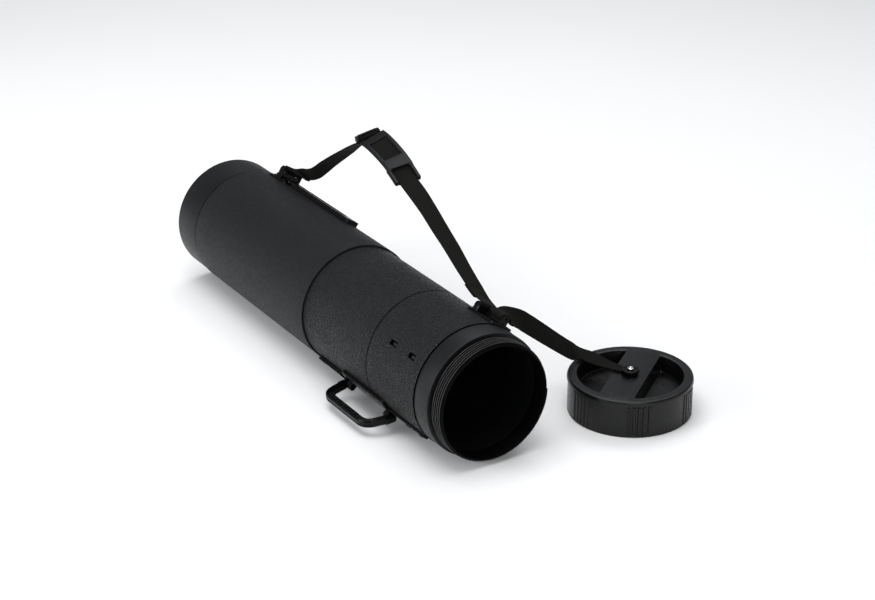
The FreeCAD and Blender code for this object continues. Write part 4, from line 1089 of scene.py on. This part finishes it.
def lid():
    """Screw lid in one skin: ribbed wall, thread inside, and two wells beside the grip bar."""
    along = Vector((cos(LID_TURN), sin(LID_TURN), 0))
    across = Vector((-sin(LID_TURN), cos(LID_TURN), 0))
    origin = Vector((LID_X, LID_Y, LID_BASE))
    top, roof, well_floor, segments = 37.0, 35.4, 20.2, 720

    mesh = bmesh.new()

    def ring(points, height, sign=1):
        return [mesh.verts.new(origin + along * (a * sign) + across * (b * sign)
                               + AXIS_Z * height) for a, b in points]

    def skin(lower, upper):
        count = len(lower)
        for j in range(count):
            k = (j + 1) % count
            mesh.faces.new((lower[j], lower[k], upper[k], upper[j]))

    def round_ring(radius, height, relief=0.0):
        points = []
        for k in range(segments):
            angle = 2 * pi * k / segments
            r = lid_radius(radius, angle, relief)
            points.append((r * cos(angle), r * sin(angle)))
        return ring(points, height)

    def edges_of(loop):
        pairs = zip(loop, loop[1:] + loop[:1])
        return [mesh.edges.get(pair) or mesh.edges.new(pair) for pair in pairs]

    # outside wall, from the open rim up over the chamfer to the flat top: radius, height, relief
    outer = [(58.5, 0.0, 0), (58.8, 0.0, 0), (59.0, 0.5, 0), (59.0, 1.4, 0), (59.0, 1.9, 0.9),
             (59.0, 31.0, 0.9), (59.0, 31.5, 0), (59.05, 32.2, 0), (59.9, 32.6, 0),
             (59.9, 33.3, 0), (59.7, 35.2, 0), (59.3, 36.2, 0), (58.6, 36.85, 0), (57.9, top, 0)]
    rings = [round_ring(*level) for level in outer]
    for lower, upper in zip(rings, rings[1:]):
        skin(lower, upper)
    # inside wall with the thread, up to the roof
    wall, crest = 58.2, 57.4
    inner = [(wall, 0.4)]
    for foot in (4.0, 7.0, 10.0, 13.0):
        inner += [(wall, foot), (crest, foot + 0.7), (crest, foot + 1.3), (wall, foot + 2.0)]
    inner.append((wall, roof))
    inside = [rings[0]] + [round_ring(*level) for level in inner]
    for lower, upper in zip(inside, inside[1:]):
        skin(lower, upper)

    # the wells: how far the outline grows, height, and relief of the fluting
    top_loops, roof_loops = [rings[-1]], [inside[-1]]
    for sign in (-1, 1):
        levels = [(0.9, top, 0), (0.45, 36.8, 0), (0.12, 36.3, 0), (0.0, 35.6, 0),
                  (-0.05, 34.6, 0.0), (-0.05, 34.2, 0.42), (-0.5, 21.6, 0.42),
                  (-0.7, 21.0, 0.0), (-1.3, 20.4, 0), (-2.2, well_floor, 0)]
        loops = []
        for grow, height, ribs in levels:
            outline = well_outline(50.2 + grow, 17.0 - grow, ribs)
            loops.append(ring(outline, height, sign))
        for upper, lower in zip(loops, loops[1:]):
            skin(lower, upper)
        mesh.faces.new(loops[-1])
        top_loops.append(loops[0])
        outline = well_outline(51.8, 15.4)
        high, low = ring(outline, roof, sign), ring(outline, well_floor - 1.6, sign)
        skin(low, high)
        mesh.faces.new(low)
        roof_loops.append(high)
    for loops in (top_loops, roof_loops):
        edges = [edge for loop in loops for edge in edges_of(loop)]
        bmesh.ops.triangle_fill(mesh, use_beauty=True, use_dissolve=False, edges=edges)
    mesh.verts.index_update()
    form = Form().add([v.co.copy() for v in mesh.verts],
                      [[v.index for v in f.verts] for f in mesh.faces])
    mesh.free()
    form.finish("lid_piece", "lid", ["lid_skirt", "lid_well", "lid_grip_bar"], LID, 32)


# ---------------------------------------------------------------- stage

def stage():
    """Pale floor, soft studio light and the camera."""
    floor = bpy.data.meshes.new("floor")
    reach, level = 12.0, (LID_BASE - 0.1) * MM
    floor.from_pydata([(-reach, -reach, level), (reach, -reach, level), (reach, reach, level),
                       (-reach, reach, level)], [], [(0, 1, 2, 3)])
    finish = Finish("pale_floor", (0.86, 0.86, 0.86), 0.9)
    finish.colour(finish.noise(600.0, 2.0), (0.3, (0.85, 0.85, 0.85)), (0.7, (0.87, 0.87, 0.87)))
    floor.materials.append(finish.material)
    obj = bpy.data.objects.new("floor", floor)
    link(obj)

    world = bpy.data.worlds.new("studio")
    bpy.context.scene.world = world
    world.use_nodes = True
    back = world.node_tree.nodes["Background"]
    back.inputs[0].default_value = (0.95, 0.97, 1.0, 1)
    back.inputs[1].default_value = 0.30

    def lamp(name, place, target, size, power, colour=(1, 1, 1)):
        data = bpy.data.lights.new(name, "AREA")
        data.shape = "RECTANGLE"
        data.size, data.size_y = size
        data.energy = power
        data.color = colour
        made = bpy.data.objects.new(name, data)
        made.location = place
        aim = Vector(target) - Vector(place)
        made.rotation_euler = aim.to_track_quat("-Z", "Y").to_euler()
        link(made)

    middle = (0.28, 0.04, 0.0)
    lamp("key", (0.5, -0.4, 1.9), middle, (1.7, 1.3), 27.0)
    lamp("side", (-0.1, -1.9, 0.75), (0.25, 0.0, 0.0), (1.5, 0.7), 26.0, (0.93, 0.97, 1.0))
    lamp("top", (-0.3, 0.9, 1.7), middle, (1.8, 0.9), 15.0, (0.96, 0.98, 1.0))
    lamp("mouth_fill", (2.0, -0.5, 0.8), middle, (0.9, 0.9), 8.0)

    data = bpy.data.cameras.new("photo_camera")
    data.sensor_width = 36.0
    data.lens = 87.6
    data.clip_end = 60.0
    camera = bpy.data.objects.new("photo_camera", data)
    right = Vector((0.52777, 0.84938, -0.00385))
    up = Vector((-0.35511, 0.22476, 0.90740))
    forward = Vector((-0.77159, 0.47753, -0.42025))
    matrix = Matrix((right, up, -forward)).transposed().to_4x4()
    matrix.translation = Vector((1.93032, -0.93099, 0.88300))
    camera.matrix_world = matrix
    link(camera)
    bpy.context.scene.camera = camera
    bpy.context.scene.view_settings.view_transform = "Standard"


end_cap()
tube("rear_tube_piece", REAR, "rear_tube", FINE, REAR_START, REAR_END, 60.3, REAR_R, 0.5)
strap_rail()
rear_bracket()
tube("front_sleeve_piece", FRONT, "front_sleeve", COARSE,
     SLEEVE_START, SLEEVE_END, SLIDE_R, FRONT_R, 0.35)
collar()
seam_shadow("seam_shadows", FRONT, "coarse_grain_shell",
            [[(x - 0.6, FRONT_R - 1.6), (x + 0.6, FRONT_R - 1.6), (x + 0.6, FRONT_R + 0.03),
              (x - 0.6, FRONT_R + 0.03)] for x in (398.0, 482.3)])
seam_shadow("cap_seam_shadow", REAR, "smooth_shell",
            [[(40.7, 60.2), (42.9, 60.2), (42.9, 61.95), (40.7, 61.78)]])
neck()
front_bracket()
handle_rail()
handle_plate()
handle()
rear_strap()
pad_frames = smooth(stations_of(PAD_RUN))
front_strap(pad_frames)
shoulder_pad(pad_frames)
buckle()
tether()
swivel()
lid()
stage()

# CAD nodes whose shape is kept as it is
KEPT = {"guide_bush": INNER, "friction_ring": RUBBER, "inner_tube": INNER, "slide_ring": INNER,
        "rivet_washer": CHROME}
for node, finish in KEPT.items():
    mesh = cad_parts[node].data
    mesh.materials.clear()
    mesh.materials.append(finish)

bpy.context.view_layer.update()
